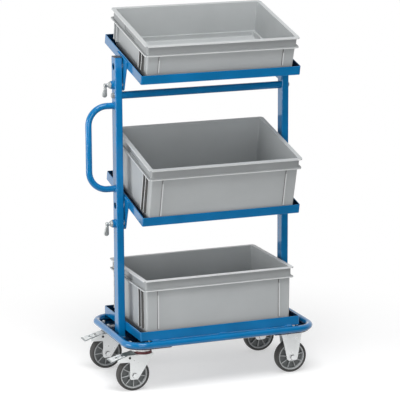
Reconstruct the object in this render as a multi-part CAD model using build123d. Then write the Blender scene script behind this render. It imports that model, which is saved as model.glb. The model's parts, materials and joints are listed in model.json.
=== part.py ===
from build123d import *
import os
from math import atan2, cos, degrees, hypot, radians, sin

# Bin trolley: a tube ring on four casters carries a level tray and two posts.
# Two more trays tilt between the posts, and each tray holds a loose stacking bin.
# Millimetres. +X points along the long side, away from the push handle. +Y points to the back. +Z is up.
# The origin lies on the floor, under the middle of the whole trolley.

# Bins: the rim's outer size, the heights and the moulding
BIN_LENGTH = 600.0
BIN_DEPTH = 400.0
TALL_BIN = 220.0
LOW_BIN = 140.0
BIN_WALL = 3.5
BIN_FLOOR = 3.5
BIN_CORNER = 13.0
BODY_INSET = 12.0
BODY_DRAFT = 2.0
FOOT_HEIGHT = 20.0
FOOT_INSET = 8.0
FOOT_CORNER = 8.0
RIM_HEIGHT = 40.0
RIM_LIP = 4.0
BAND_RECESS = 9.0
GRIP_WIDTH = 110.0
GRIP_HEIGHT = 22.0
GRIP_POCKET = 3.0
RIB_WIDTH = 5.0
RIB_PROUD = 4.0
END_RIB_PROUD = 9.0
RIB_FROM_CORNER = 58.0
END_RIB_FROM_CORNER = 46.0
END_RIB_PITCH = 28.0
RIB_START = 32.0
RIB_GUSSET = 19.0
GUSSET_INSET = 2.0

# Trays of angle steel: play around the bin, the angle's legs and the tilt
TRAY_PLAY_ENDS = 8.0
TRAY_PLAY_SIDES = 5.0
ANGLE_UPRIGHT = 34.0
ANGLE_FLANGE = 40.0
ANGLE_WALL = 3.0
ANGLE_CORNER = 5.0
TILT = 14.0
TILT_MIN = 0.0
TILT_MAX = 30.0
UPPER_BIN_SLIP = 2.0
MIDDLE_BIN_GAP = 5.8

# Tilt brackets
BRACKET_WALL = 4.0
BRACKET_TOP_WIDTH = 116.0
BRACKET_FOOT_WIDTH = 90.0
BRACKET_LAP = 26.0
BRACKET_CORNER = 16.0
BRACKET_EDGE = 11.0
PIVOT_DROP = 10.0
UPPER_PIVOT_Z = 1194.0
MIDDLE_PIVOT_Z = 673.5

# Posts of rectangular tube
POST_WIDTH = 27.0
POST_DEPTH = 45.0
POST_WALL = 2.0
POST_CORNER = 3.5
POST_Y = -13.5
POST_TOP = 1228.0
CAP_WALL = 3.0
CAP_SKIRT = 16.0
CAP_PLAY = 0.1
ACCESS_HOLE = 25.0

# Base ring, end plates and cross bars
TUBE_DIAMETER = 25.0
TUBE_WALL = 2.0
RING_BEND = 70.0
RING_GAP_LEFT = 8.5
RING_GAP_RIGHT = 20.5
END_PLATE_WALL = 4.0
END_PLATE_REACH = 165.0
WELD_GAP = 0.02
BAR_WIDTH = 30.0
BAR_WALL = 4.0
BAR_SPACING = 266.0
BAR_LAP = 9.0
SIDE_BAR_RECESS = 7.0
TRAY_OVER_TUBE = 1.5

# Crossbar and push handle
CROSSBAR_Z = 1086.0
CROSSBAR_DIAMETER = 28.0
CROSSBAR_WALL = 2.0
CROSSBAR_PLUG = 14.0
HANDLE_DIAMETER = 24.0
HANDLE_WALL = 2.0
HANDLE_TOP_Z = 1049.0
HANDLE_BOTTOM_Z = 738.0
HANDLE_REACH = 99.0
HANDLE_BEND = 70.0

# Bolts of the posts: shank, head and washer
BOLT_DIAMETER = 10.0
BOLT_HEX = 17.0
BOLT_HEAD = 6.4
NUT_HEIGHT = 8.0
BOLT_SPARE = 2.0
WASHER_DIAMETER = 24.0
WASHER_WALL = 2.0
SPACER_WALL = 2.9
SPACER_DIAMETER = 28.0
PIVOT_HEAD_DIAMETER = 18.0
PIVOT_HEAD = 6.0

# Tray clamps
CLAMP_DROP = 68.0
BOSS_DIAMETER = 30.0
BOSS_LENGTH = 12.0
STUD_HEAD_DIAMETER = 24.0
STUD_HEAD = 4.0
STUD_GRIP = 20.0
HUB_FOOT_DIAMETER = 27.0
HUB_TIP_DIAMETER = 15.0
HUB_LENGTH = 30.0
HUB_FOOT = 4.0
PADDLE_LENGTH = 52.0
PADDLE_LEAN = 10.0
PADDLE_WIDTH = 19.0
PADDLE_NECK = 9.0
PADDLE_WALL = 7.0

# Clearances
RUN_FIT = 0.05
FACE_GAP = 0.1
OPEN_GAP = 0.3
HOLE_PLAY = 0.5

# Wheels
WHEEL_DIAMETER = 125.0
TYRE_WIDTH = 32.0
TYRE_SHOULDER = 7.0
RIM_DIAMETER = 104.0
RIM_SET_BACK = 1.0
RIM_WALL = 5.5
WEB_WALL = 5.0
HUB_DIAMETER = 36.0
HUB_PROUD = 5.0
RIB_COUNT = 9
FIRST_RIB = -90.0
WHEEL_RIB = 4.0
WHEEL_RIB_WIDTH = 24.0
SLEEVE_DIAMETER = 16.0
SLEEVE_PROUD = 0.4

# Casters: places, plates and forks
CORNER_GAP = 0.5
PLATE_LENGTH = 105.0
PLATE_DEPTH = 85.0
PLATE_WALL = 4.0
PLATE_CORNER = 8.0
HOLES_LENGTH = 80.0
HOLES_DEPTH = 60.0
CASTER_BOLT = 8.0
CASTER_HEX = 13.0
CASTER_HEAD = 5.3
CASTER_NUT = 6.5
AXLE_DIAMETER = 10.0
FORK_SIDE_GAP = 0.6
LEG_WALL = 3.5
TRAIL = 42.0
CROWN_WALL = 4.0
CROWN_GAP = 12.0
CROWN_RADIUS = 33.0
LOWER_RACE = 2.5
LOWER_RACE_RADIUS = 27.0
BALL_DIAMETER = 6.0
BALL_COUNT = 16
BALL_CIRCLE = 44.0
UPPER_RACE = 13.8
UPPER_RACE_RADIUS = 27.0
UPPER_RACE_FLARE = 34.0
SEAL_RADIUS = 33.0
SEAL_WALL = 4.0
SEAL_HEIGHT = 9.5
KINGPIN_DIAMETER = 12.0
KINGPIN_HEAD_DIAMETER = 22.0
KINGPIN_HEAD = 8.0
FIXED_LEG_GAP = 1.0
FIXED_PANEL_HALF = 18.0
FIXED_FOOT_HALF = 20.0
FIXED_FOOT_DROP = 12.0
FIXED_FOOT_CORNER = 9.0
FIXED_WAIST_HALF = 39.0
FIXED_WAIST_RISE = 83.0
FIXED_TOP_INSET = 2.5
LEG_WAIST = 18.0
LEG_BACK = 24.0
LEG_SHOULDER = 2.5
LEG_FOOT = 12.5
LEG_FOOT_DROP = 15.5
LEG_FOOT_CORNER = 6.0

# Brake pedals: pivot, plate, cheeks and shoe
PEDAL_PIVOT_BACK = 19.0
PEDAL_PIVOT_GAP = 6.5
PEDAL_PIN = 6.0
PIN_HEAD_DIAMETER = 9.0
PIN_HEAD = 2.0
PEDAL_TRAVEL = 12.0
PEDAL_SEAL_GAP = 7.0
PEDAL_SIDE_GAP = 1.0
PEDAL_WALL = 3.5
PEDAL_INNER_RISE = 16.0
PEDAL_TIP_REACH = 73.0
PEDAL_TIP_DROP = 8.0
TIP_HALF = 25.0
TIP_LENGTH = 18.0
TIP_NOTCH = 5.0
TIP_NOTCHES = 5
CHEEK_WALL = 3.0
CHEEK_REACH = 42.0
CHEEK_EYE = 8.0
PEDAL_HOLE = 10.0
ARM_PAST_PIVOT = 47.0
ARM_UNDER_PIVOT = 17.0
SHOE_GAP = 0.5
SHOE_WALL = 4.5
SHOE_HALF = 14.0
SHOE_HALF_ANGLE = 8.0
SHOE_CENTRE_BACK = 25.0
SHOE_STEM = 14.0

# Levels and distances worked out from the sizes above
TUBE_RADIUS = TUBE_DIAMETER / 2
WHEEL_RADIUS = WHEEL_DIAMETER / 2
RIM_WIDTH = TYRE_WIDTH - 2 * RIM_SET_BACK
WHEEL_HUB_WIDTH = TYRE_WIDTH + 2 * HUB_PROUD
FORK_GAP = WHEEL_HUB_WIDTH + 2 * (SLEEVE_PROUD + FORK_SIDE_GAP)
PEDAL_HALF = FORK_GAP / 2 - PEDAL_SIDE_GAP
AXLE_Z = WHEEL_RADIUS
FORK_RISE = WHEEL_RADIUS + CROWN_GAP + CROWN_WALL
HEAD_HEIGHT = LOWER_RACE + BALL_DIAMETER + 2 * FACE_GAP + UPPER_RACE + PLATE_WALL
CASTER_HEIGHT = AXLE_Z + FORK_RISE + HEAD_HEIGHT
PLATE_RISE = CASTER_HEIGHT - AXLE_Z
DECK_Z = CASTER_HEIGHT + END_PLATE_WALL
RING_Z = DECK_Z + WELD_GAP + TUBE_RADIUS
LOWER_TRAY_Z = RING_Z + TUBE_RADIUS + TRAY_OVER_TUBE
TRAY_LENGTH = BIN_LENGTH + 2 * (TRAY_PLAY_ENDS + ANGLE_WALL)
TRAY_DEPTH = BIN_DEPTH + 2 * (TRAY_PLAY_SIDES + ANGLE_WALL)
TRAY_END = TRAY_LENGTH / 2
BRACKET_FACE = TRAY_END + BRACKET_WALL
POST_INNER = BRACKET_FACE + FACE_GAP + SPACER_WALL
POST_OUTER = POST_INNER + POST_WIDTH
LOWER_TRAY_LENGTH = 2 * (POST_INNER - WELD_GAP)
POST_X = (POST_INNER + POST_OUTER) / 2
RING_LEFT = POST_OUTER + RING_GAP_LEFT + TUBE_RADIUS
RING_RIGHT = POST_OUTER + RING_GAP_RIGHT + TUBE_RADIUS
RING_MIDDLE = (RING_RIGHT - RING_LEFT) / 2
RING_LENGTH = RING_LEFT + RING_RIGHT
RING_HALF_DEPTH = TRAY_DEPTH / 2 + TUBE_RADIUS
NUT_REACH = CASTER_HEX / 3 ** 0.5 + CORNER_GAP
CORNER_BOLT = RING_BEND - (RING_BEND - TUBE_RADIUS - NUT_REACH) * 0.5 ** 0.5
CASTER_Y = RING_HALF_DEPTH - CORNER_BOLT - HOLES_DEPTH / 2
SWIVEL_X = CORNER_BOLT + HOLES_LENGTH / 2 - RING_LEFT
FIXED_X = RING_RIGHT - CORNER_BOLT - HOLES_LENGTH / 2
FIXED_TOP_HALF = PLATE_LENGTH / 2 - FIXED_TOP_INSET
WING_RUN = HOLES_LENGTH / 2 - NUT_REACH - FIXED_PANEL_HALF
HANDLE_X = POST_OUTER + HANDLE_REACH
CLAMP_BOSS_END = POST_OUTER + BOSS_LENGTH
FORK_OUTER = FORK_GAP / 2 + LEG_WALL
WING_SET_BACK = FORK_OUTER + FIXED_LEG_GAP + NUT_REACH - HOLES_DEPTH / 2
WING_EDGE = FORK_OUTER - WING_SET_BACK * (FIXED_TOP_HALF - FIXED_PANEL_HALF) / WING_RUN
LEG_FRONT = TRAIL + CROWN_RADIUS - 1
PEDAL_PIVOT_RISE = WHEEL_RADIUS + PEDAL_PIVOT_GAP
PEDAL_INNER = TRAIL - SEAL_RADIUS - PEDAL_SEAL_GAP
PEDAL_TIP = -PEDAL_PIVOT_BACK - PEDAL_TIP_REACH

# The middle bin has slid forward on its tray, to a small gap from the tray's front upright
BIN_LEAN = BODY_DRAFT * (ANGLE_UPRIGHT - ANGLE_WALL - FOOT_HEIGHT) / (TALL_BIN - RIM_HEIGHT - FOOT_HEIGHT)
MIDDLE_BIN_SLIP = TRAY_PLAY_SIDES + BODY_INSET + BODY_DRAFT - BIN_LEAN - MIDDLE_BIN_GAP

# The trolley's middle: the handle and the ring end it in X, the middle bin's rim and the ring in Y
RIM_FORWARD = BIN_DEPTH / 2 + MIDDLE_BIN_SLIP
RIM_ABOVE_PIVOT = PIVOT_DROP + ANGLE_WALL + FACE_GAP + TALL_BIN
FRONT_Y = POST_Y - RIM_FORWARD * cos(radians(TILT)) - RIM_ABOVE_PIVOT * sin(radians(TILT))
BACK_Y = RING_HALF_DEPTH + TUBE_RADIUS
CENTRE_X = (RING_RIGHT + TUBE_RADIUS - HANDLE_X - HANDLE_DIAMETER / 2) / 2
CENTRE_Y = (FRONT_Y + BACK_Y) / 2


# Small helpers

def rod(radius, length):
    """Cylinder that stands on Z = 0."""
    return extrude(Circle(radius), length)


def tube(outer, inner, length):
    """Round tube that stands on Z = 0."""
    return extrude(Circle(outer) - Circle(inner), length)


def hexagon(flats, height):
    """Hexagonal prism that stands on Z = 0."""
    return extrude(RegularPolygon(flats / 2, 6, major_radius=False), height)


def nut(flats, height, bore):
    """Hexagonal nut that stands on Z = 0."""
    return hexagon(flats, height) - rod(bore / 2 + RUN_FIT, height)


def along_x(shape, x, y, z):
    """Turn a shape that stands on Z to point along +X, with its foot at the given point."""
    return Pos(x, y, z) * Rot(0, 90, 0) * shape


def along_y(shape, x, y, z):
    """Turn a shape that stands on Z to point along +Y, with its foot at the given point."""
    return Pos(x, y, z) * Rot(-90, 0, 0) * shape


def to_left(shape):
    """Mirror a piece of the right end to the left end."""
    return mirror(shape, about=Plane.YZ)


def rounded_block(length, depth, corner, height):
    """Block with rounded upright edges that stands on Z = 0."""
    return extrude(RectangleRounded(length, depth, corner), height)


def outline(points):
    """Flat face through the given corners."""
    return make_face(Polyline(*points, close=True))


def side_plate(face, start, width):
    """Plate drawn in X and Z that runs from Y = start towards +Y."""
    return Pos(0, start + width, 0) * extrude(Plane.XZ * face, width)


def group(shapes):
    """Several separate solids in one node."""
    return Compound([solid for shape in shapes for solid in shape.solids()])


# Bins

def bin_section(inset, level):
    """Outline of the bin, drawn in from the rim by the given inset."""
    corner = BIN_CORNER - inset / 2
    return Pos(0, 0, level) * RectangleRounded(BIN_LENGTH - 2 * inset, BIN_DEPTH - 2 * inset, corner)


def foot_section(inset, level):
    """Outline of the bin's foot, drawn in from the rim by the given inset."""
    return Pos(0, 0, level) * RectangleRounded(BIN_LENGTH - 2 * inset, BIN_DEPTH - 2 * inset, FOOT_CORNER)


def rib_profile(half, proud, body_height):
    """Side view of a rib on the wall at the given half size: an upright strip with a gusset under the rim."""
    root = half - BODY_INSET - BODY_DRAFT - BIN_WALL / 2
    face = half - BODY_INSET + proud
    return outline([
        (root, RIB_START),
        (face, RIB_START),
        (face, body_height - RIB_GUSSET),
        (half - GUSSET_INSET, body_height),
        (root, body_height),
    ])


def bin_ribs(body_height):
    """Upright ribs near the corners: one by each corner on the long sides, two on the short sides."""
    side = Plane.YZ * rib_profile(BIN_DEPTH / 2, RIB_PROUD, body_height)
    side_rib = Pos(BIN_LENGTH / 2 - RIB_FROM_CORNER - RIB_WIDTH / 2, 0, 0) * extrude(side, RIB_WIDTH)
    end_profile = rib_profile(BIN_LENGTH / 2, END_RIB_PROUD, body_height)
    end_start = BIN_DEPTH / 2 - END_RIB_FROM_CORNER - RIB_WIDTH / 2
    outer_rib = side_plate(end_profile, end_start, RIB_WIDTH)
    inner_rib = side_plate(end_profile, end_start - END_RIB_PITCH, RIB_WIDTH)
    ribs = []
    for rib in (side_rib, outer_rib, inner_rib):
        back = mirror(rib, about=Plane.XZ)
        ribs += [rib, back, to_left(rib), to_left(back)]
    return ribs


def stacking_bin(height):
    """Stacking bin on Z = 0: foot, tapered body, double rim, ribs and a closed grip in each end."""
    body_height = height - RIM_HEIGHT
    waist = BODY_INSET + BODY_DRAFT
    foot = waist + FOOT_INSET
    shell = loft([bin_section(waist, FOOT_HEIGHT), bin_section(BODY_INSET, body_height)], ruled=True)
    shell += extrude(foot_section(foot, 0), FOOT_HEIGHT)
    for rib in bin_ribs(body_height):
        shell += rib
    shell += extrude(bin_section(0, body_height), RIM_LIP)
    shell += extrude(bin_section(BAND_RECESS, body_height), RIM_HEIGHT)
    shell += extrude(bin_section(0, height - RIM_LIP), RIM_LIP)
    ledge = FOOT_HEIGHT + BIN_FLOOR
    inside = [bin_section(waist + BIN_WALL, ledge), bin_section(BODY_INSET + BIN_WALL, height)]
    shell -= loft(inside, ruled=True)
    shell -= extrude(foot_section(foot + BIN_WALL, BIN_FLOOR), FOOT_HEIGHT)
    grip = Box(2 * GRIP_POCKET, GRIP_WIDTH, GRIP_HEIGHT)
    grip_z = height - RIM_HEIGHT / 2
    for end in (-1, 1):
        shell -= Pos(end * (BIN_LENGTH / 2 - BAND_RECESS), 0, grip_z) * grip
    return shell


# Trays

def tray_frame(length):
    """Open frame of angle steel of the given length, with its underside on Z = 0."""
    frame = rounded_block(length, TRAY_DEPTH, ANGLE_CORNER, ANGLE_UPRIGHT)
    inner_length = length - 2 * ANGLE_WALL
    inner_depth = TRAY_DEPTH - 2 * ANGLE_WALL
    hollow = rounded_block(inner_length, inner_depth, ANGLE_CORNER - ANGLE_WALL, ANGLE_UPRIGHT)
    opening = Box(length - 2 * ANGLE_FLANGE, TRAY_DEPTH - 2 * ANGLE_FLANGE, 4 * ANGLE_WALL)
    return frame - Pos(0, 0, ANGLE_WALL) * hollow - opening


def bracket_plate():
    """Right-hand bracket about the tilt pivot, with a pivot hole and an arc slot for the clamp stud."""
    top = PIVOT_DROP + BRACKET_LAP
    foot = -CLAMP_DROP - BOLT_DIAMETER / 2 - BRACKET_EDGE
    corners = [
        (-BRACKET_TOP_WIDTH / 2, top),
        (BRACKET_TOP_WIDTH / 2, top),
        (BRACKET_FOOT_WIDTH / 2, foot),
        (-BRACKET_FOOT_WIDTH / 2, foot),
    ]
    face = outline(corners)
    face = fillet(face.vertices().sort_by(Axis.Y)[:2], BRACKET_CORNER)
    face -= Circle(BOLT_DIAMETER / 2 + RUN_FIT)
    spare = degrees(OPEN_GAP / CLAMP_DROP)
    arc = CenterArc((0, 0), CLAMP_DROP, 270 - TILT_MAX - spare, TILT_MAX - TILT_MIN + 2 * spare)
    face -= SlotArc(arc, BOLT_DIAMETER + 2 * OPEN_GAP)
    return Pos(TRAY_END, 0, 0) * extrude(Plane.YZ * face, BRACKET_WALL)


def tilted(shape, pivot_z):
    """Move a piece from its tray's level place about the pivot to the tilted place on the posts."""
    return Pos(0, POST_Y, pivot_z) * Rot(TILT, 0, 0) * shape


def bin_on_tray(height, slip):
    """Bin in its place on a tray's flange, about the tilt pivot."""
    return Pos(0, -slip, PIVOT_DROP + ANGLE_WALL + FACE_GAP) * stacking_bin(height)


# Base

def ring_sweep(inner):
    """Sweep a round section along the bent ring."""
    path = Pos(RING_MIDDLE, 0, RING_Z) * RectangleRounded(RING_LENGTH, 2 * RING_HALF_DEPTH, RING_BEND)
    wire = path.face().outer_wire()
    section = Circle(TUBE_RADIUS) - Circle(inner) if inner else Circle(TUBE_RADIUS)
    return sweep(Plane(origin=wire @ 0, z_dir=wire % 0) * section, path=wire)


def caster_places():
    """Middle of each caster plate: its outer corner bolt sits in the bend of the ring."""
    return [(x, y) for x in (SWIVEL_X, FIXED_X) for y in (-CASTER_Y, CASTER_Y)]


def bolt_places(places):
    """Places of the four bolts of each caster plate."""
    spots = []
    for x, y in places:
        for dx in (-HOLES_LENGTH / 2, HOLES_LENGTH / 2):
            for dy in (-HOLES_DEPTH / 2, HOLES_DEPTH / 2):
                spots.append((x + dx, y + dy))
    return spots


def end_plate(end):
    """Plate under one end of the ring, with the caster bolts' holes."""
    ring_face = Pos(RING_MIDDLE, 0) * RectangleRounded(RING_LENGTH, 2 * RING_HALF_DEPTH, RING_BEND)
    edge = RING_RIGHT if end > 0 else -RING_LEFT
    zone = Pos(edge, 0) * Rectangle(2 * END_PLATE_REACH, 4 * RING_HALF_DEPTH)
    face = ring_face & zone
    for x, y in bolt_places(caster_places()):
        if x * end > 0:
            face -= Pos(x, y) * Circle(CASTER_BOLT / 2 + HOLE_PLAY)
    return Pos(0, 0, CASTER_HEIGHT) * extrude(face, END_PLATE_WALL)


def cross_bars():
    """Flat bars under the lower tray: three across, cut to the tubes below, and four along its sides."""
    ring = ring_sweep(0)
    level = LOWER_TRAY_Z - BAR_WALL / 2
    bar = Box(BAR_WIDTH, TRAY_DEPTH + 2 * BAR_LAP, BAR_WALL)
    bars = [Pos(RING_MIDDLE + step * BAR_SPACING, 0, level) * bar - ring for step in (-1, 0, 1)]
    side_bar = Box(BAR_SPACING - BAR_WIDTH - 2 * WELD_GAP, BAR_WIDTH, BAR_WALL)
    side_y = TRAY_DEPTH / 2 - SIDE_BAR_RECESS - BAR_WIDTH / 2
    for y in (-side_y, side_y):
        bars += [Pos(RING_MIDDLE + end * BAR_SPACING / 2, y, level) * side_bar for end in (-1, 1)]
    return group(bars)


# Posts and what is fixed to them

def wall_hole(x, z, diameter, walls):
    """Drill along X through the given number of post walls from the face at x."""
    length = (POST_WALL + OPEN_GAP) if walls == 1 else (POST_WIDTH + 2 * OPEN_GAP)
    return along_x(rod(diameter / 2, length), x, POST_Y, z)


def post(clamped):
    """Right-hand post with its pivot, access and crossbar holes, and the clamp holes if it has clamps."""
    outer = RectangleRounded(POST_WIDTH, POST_DEPTH, POST_CORNER)
    inner_corner = POST_CORNER - POST_WALL
    inner = RectangleRounded(POST_WIDTH - 2 * POST_WALL, POST_DEPTH - 2 * POST_WALL, inner_corner)
    solid = Pos(POST_X, POST_Y, DECK_Z) * extrude(outer - inner, POST_TOP - DECK_Z)
    hole = BOLT_DIAMETER + 2 * RUN_FIT
    start = POST_INNER - OPEN_GAP / 2
    for pivot_z in (MIDDLE_PIVOT_Z, UPPER_PIVOT_Z):
        solid -= wall_hole(start, pivot_z, hole, 1)
        solid -= wall_hole(POST_OUTER - POST_WALL - OPEN_GAP / 2, pivot_z, ACCESS_HOLE, 1)
        if clamped:
            solid -= wall_hole(start, pivot_z - CLAMP_DROP, hole, 2)
    return solid - wall_hole(start, CROSSBAR_Z, hole, 2)


def post_cap():
    """Plastic cap of the right-hand post: a lid and a hollow skirt inside the tube."""
    lid = extrude(RectangleRounded(POST_WIDTH, POST_DEPTH, POST_CORNER), CAP_WALL)
    lid = chamfer(lid.faces().sort_by(Axis.Z)[-1].edges(), CAP_WALL / 3)
    inset = 2 * (POST_WALL + CAP_PLAY)
    skirt_corner = POST_CORNER - POST_WALL
    skirt = rounded_block(POST_WIDTH - inset, POST_DEPTH - inset, skirt_corner, CAP_SKIRT)
    hollow = Box(POST_WIDTH - inset - 2 * CAP_WALL, POST_DEPTH - inset - 2 * CAP_WALL, 4 * CAP_SKIRT)
    return Pos(POST_X, POST_Y, POST_TOP) * (lid + Pos(0, 0, -CAP_SKIRT) * (skirt - hollow))


def crossbar():
    """Round tube between the posts with a drilled plug in each end."""
    radius = CROSSBAR_DIAMETER / 2
    bar = tube(radius, BOLT_DIAMETER / 2 + RUN_FIT, 2 * POST_INNER)
    bar -= Pos(0, 0, CROSSBAR_PLUG) * rod(radius - CROSSBAR_WALL, 2 * (POST_INNER - CROSSBAR_PLUG))
    return along_x(bar, -POST_INNER, POST_Y, CROSSBAR_Z)


def crossbar_bolt():
    """Right-hand crossbar bolt and its washer, from the post's outer face inwards."""
    washer = tube(WASHER_DIAMETER / 2, BOLT_DIAMETER / 2 + RUN_FIT, WASHER_WALL)
    reach = WASHER_WALL + POST_WIDTH + CROSSBAR_PLUG
    shank = rod(BOLT_DIAMETER / 2, reach)
    bolt = Pos(0, 0, reach) * hexagon(BOLT_HEX, BOLT_HEAD) + shank
    return [
        along_x(washer, POST_OUTER, POST_Y, CROSSBAR_Z),
        along_x(bolt, POST_OUTER + WASHER_WALL - reach, POST_Y, CROSSBAR_Z),
    ]


def push_handle():
    """Bent tube on the left post's outer face."""
    points = [
        (-POST_OUTER, POST_Y, HANDLE_TOP_Z),
        (-HANDLE_X, POST_Y, HANDLE_TOP_Z),
        (-HANDLE_X, POST_Y, HANDLE_BOTTOM_Z),
        (-POST_OUTER, POST_Y, HANDLE_BOTTOM_Z),
    ]
    path = FilletPolyline(*points, radius=HANDLE_BEND)
    section = Circle(HANDLE_DIAMETER / 2) - Circle(HANDLE_DIAMETER / 2 - HANDLE_WALL)
    return sweep(Plane(origin=path @ 0, z_dir=path % 0) * section, path=path)


def pivot_bolt(pivot_z):
    """Right-hand pivot bolt: a flat head inside the bracket, its shank through the post's inner wall."""
    length = POST_INNER + POST_WALL + NUT_HEIGHT + BOLT_SPARE - TRAY_END + FACE_GAP
    bolt = rod(PIVOT_HEAD_DIAMETER / 2, PIVOT_HEAD) + Pos(0, 0, PIVOT_HEAD) * rod(BOLT_DIAMETER / 2, length)
    return along_x(bolt, TRAY_END - FACE_GAP - PIVOT_HEAD, POST_Y, pivot_z)


def pivot_nut(pivot_z):
    """Right-hand pivot nut inside the post."""
    return along_x(nut(BOLT_HEX, NUT_HEIGHT, BOLT_DIAMETER), POST_INNER + POST_WALL, POST_Y, pivot_z)


def spacer(z):
    """Right-hand spacer washer between a bracket and the post."""
    ring = tube(SPACER_DIAMETER / 2, BOLT_DIAMETER / 2 + RUN_FIT, SPACER_WALL)
    return along_x(ring, POST_INNER - SPACER_WALL, POST_Y, z)


def clamp_boss(z):
    """Boss on the left post's outer face for one clamp stud."""
    ring = tube(BOSS_DIAMETER / 2, BOLT_DIAMETER / 2 + RUN_FIT, BOSS_LENGTH)
    return to_left(along_x(ring, POST_OUTER, POST_Y, z))


def clamp_stud(z):
    """Stud with a flat head inside the left bracket, through the post, the boss and the lever's hub."""
    length = CLAMP_BOSS_END + STUD_GRIP - TRAY_END + FACE_GAP
    stud = rod(STUD_HEAD_DIAMETER / 2, STUD_HEAD) + Pos(0, 0, STUD_HEAD) * rod(BOLT_DIAMETER / 2, length)
    return to_left(along_x(stud, TRAY_END - FACE_GAP - STUD_HEAD, POST_Y, z))


def clamp_lever(z):
    """Cast lever on the left post: a bell-shaped hub with a flat paddle that hangs and leans outwards."""
    foot = HUB_FOOT_DIAMETER / 2
    tip = HUB_TIP_DIAMETER / 2
    middle = HUB_LENGTH - tip
    profile = outline([(0, 0), (foot, 0), (foot, HUB_FOOT), (tip, middle), (0, middle)])
    hub = revolve(Plane.XZ * profile, Axis.Z) + Pos(0, 0, middle) * Sphere(tip)
    tail = PADDLE_LENGTH - PADDLE_WIDTH / 2
    tail_end = Pos(0, middle) * Rot(0, 0, -PADDLE_LEAN) * Pos(-tail, 0)
    drops = Pos(0, middle) * Circle(PADDLE_NECK / 2) + tail_end * Circle(PADDLE_WIDTH / 2)
    paddle = extrude(Plane.XZ * make_hull(drops.edges()), PADDLE_WALL / 2, both=True)
    lever = hub + paddle - rod(BOLT_DIAMETER / 2 + RUN_FIT, STUD_GRIP + OPEN_GAP)
    return Pos(-CLAMP_BOSS_END - FACE_GAP, POST_Y, z) * Rot(0, -90, 0) * lever


# Wheels, drawn about the axle's middle

def wheel_rim():
    """Plastic rim: hub, web, outer ring and ribs on both sides of the web."""
    outer = RIM_DIAMETER / 2
    inner = outer - RIM_WALL
    rim = Pos(0, 0, -RIM_WIDTH / 2) * tube(outer, inner, RIM_WIDTH)
    rim += Pos(0, 0, -WEB_WALL / 2) * rod(inner + RIM_WALL / 2, WEB_WALL)
    rim += Pos(0, 0, -WHEEL_HUB_WIDTH / 2) * rod(HUB_DIAMETER / 2, WHEEL_HUB_WIDTH)
    start = HUB_DIAMETER / 4
    length = inner + RIM_WALL / 2 - start
    for step in range(RIB_COUNT):
        rib = Pos(start + length / 2, 0, 0) * Box(length, WHEEL_RIB, WHEEL_RIB_WIDTH)
        rim += Rot(0, 0, FIRST_RIB + step * 360 / RIB_COUNT) * rib
    bore = rod(SLEEVE_DIAMETER / 2 + RUN_FIT, WHEEL_HUB_WIDTH)
    rim -= Pos(0, 0, -WHEEL_HUB_WIDTH / 2) * bore
    return Rot(90, 0, 0) * rim


def wheel_tyre():
    """Rubber tyre with rounded shoulders."""
    outer = Pos(0, 0, -TYRE_WIDTH / 2) * rod(WHEEL_RADIUS, TYRE_WIDTH)
    outer = fillet(outer.edges(), TYRE_SHOULDER)
    bore = Pos(0, 0, -TYRE_WIDTH / 2) * rod(RIM_DIAMETER / 2 + RUN_FIT, TYRE_WIDTH)
    return Rot(90, 0, 0) * (outer - bore)


def wheel_sleeve():
    """Steel bearing sleeve in the hub, a little longer than the hub."""
    length = WHEEL_HUB_WIDTH + 2 * SLEEVE_PROUD
    sleeve = tube(SLEEVE_DIAMETER / 2, AXLE_DIAMETER / 2 + RUN_FIT, length)
    return Rot(90, 0, 0) * Pos(0, 0, -length / 2) * sleeve


def axle_bolt():
    """Axle bolt with its head at the front."""
    length = 2 * FORK_OUTER + NUT_HEIGHT + BOLT_SPARE
    bolt = hexagon(BOLT_HEX, BOLT_HEAD) + Pos(0, 0, BOLT_HEAD) * rod(AXLE_DIAMETER / 2, length)
    return along_y(bolt, 0, -FORK_OUTER - BOLT_HEAD, 0)


def axle_nut():
    """Axle nut at the back."""
    return along_y(nut(BOLT_HEX, NUT_HEIGHT, AXLE_DIAMETER), 0, FORK_OUTER, 0)


# Caster frames, drawn about the axle's middle

def caster_plate(x):
    """Top plate with four bolt holes, about the given X."""
    face = RectangleRounded(PLATE_LENGTH, PLATE_DEPTH, PLATE_CORNER)
    for hole_x, hole_y in bolt_places([(0, 0)]):
        face -= Pos(hole_x, hole_y) * Circle(CASTER_BOLT / 2 + HOLE_PLAY)
    return Pos(x, 0, PLATE_RISE - PLATE_WALL) * extrude(face, PLATE_WALL)


def both_legs(face, start, width):
    """The same plate in front of the wheel and behind it."""
    return side_plate(face, start, width) + side_plate(face, -start - width, width)


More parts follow.
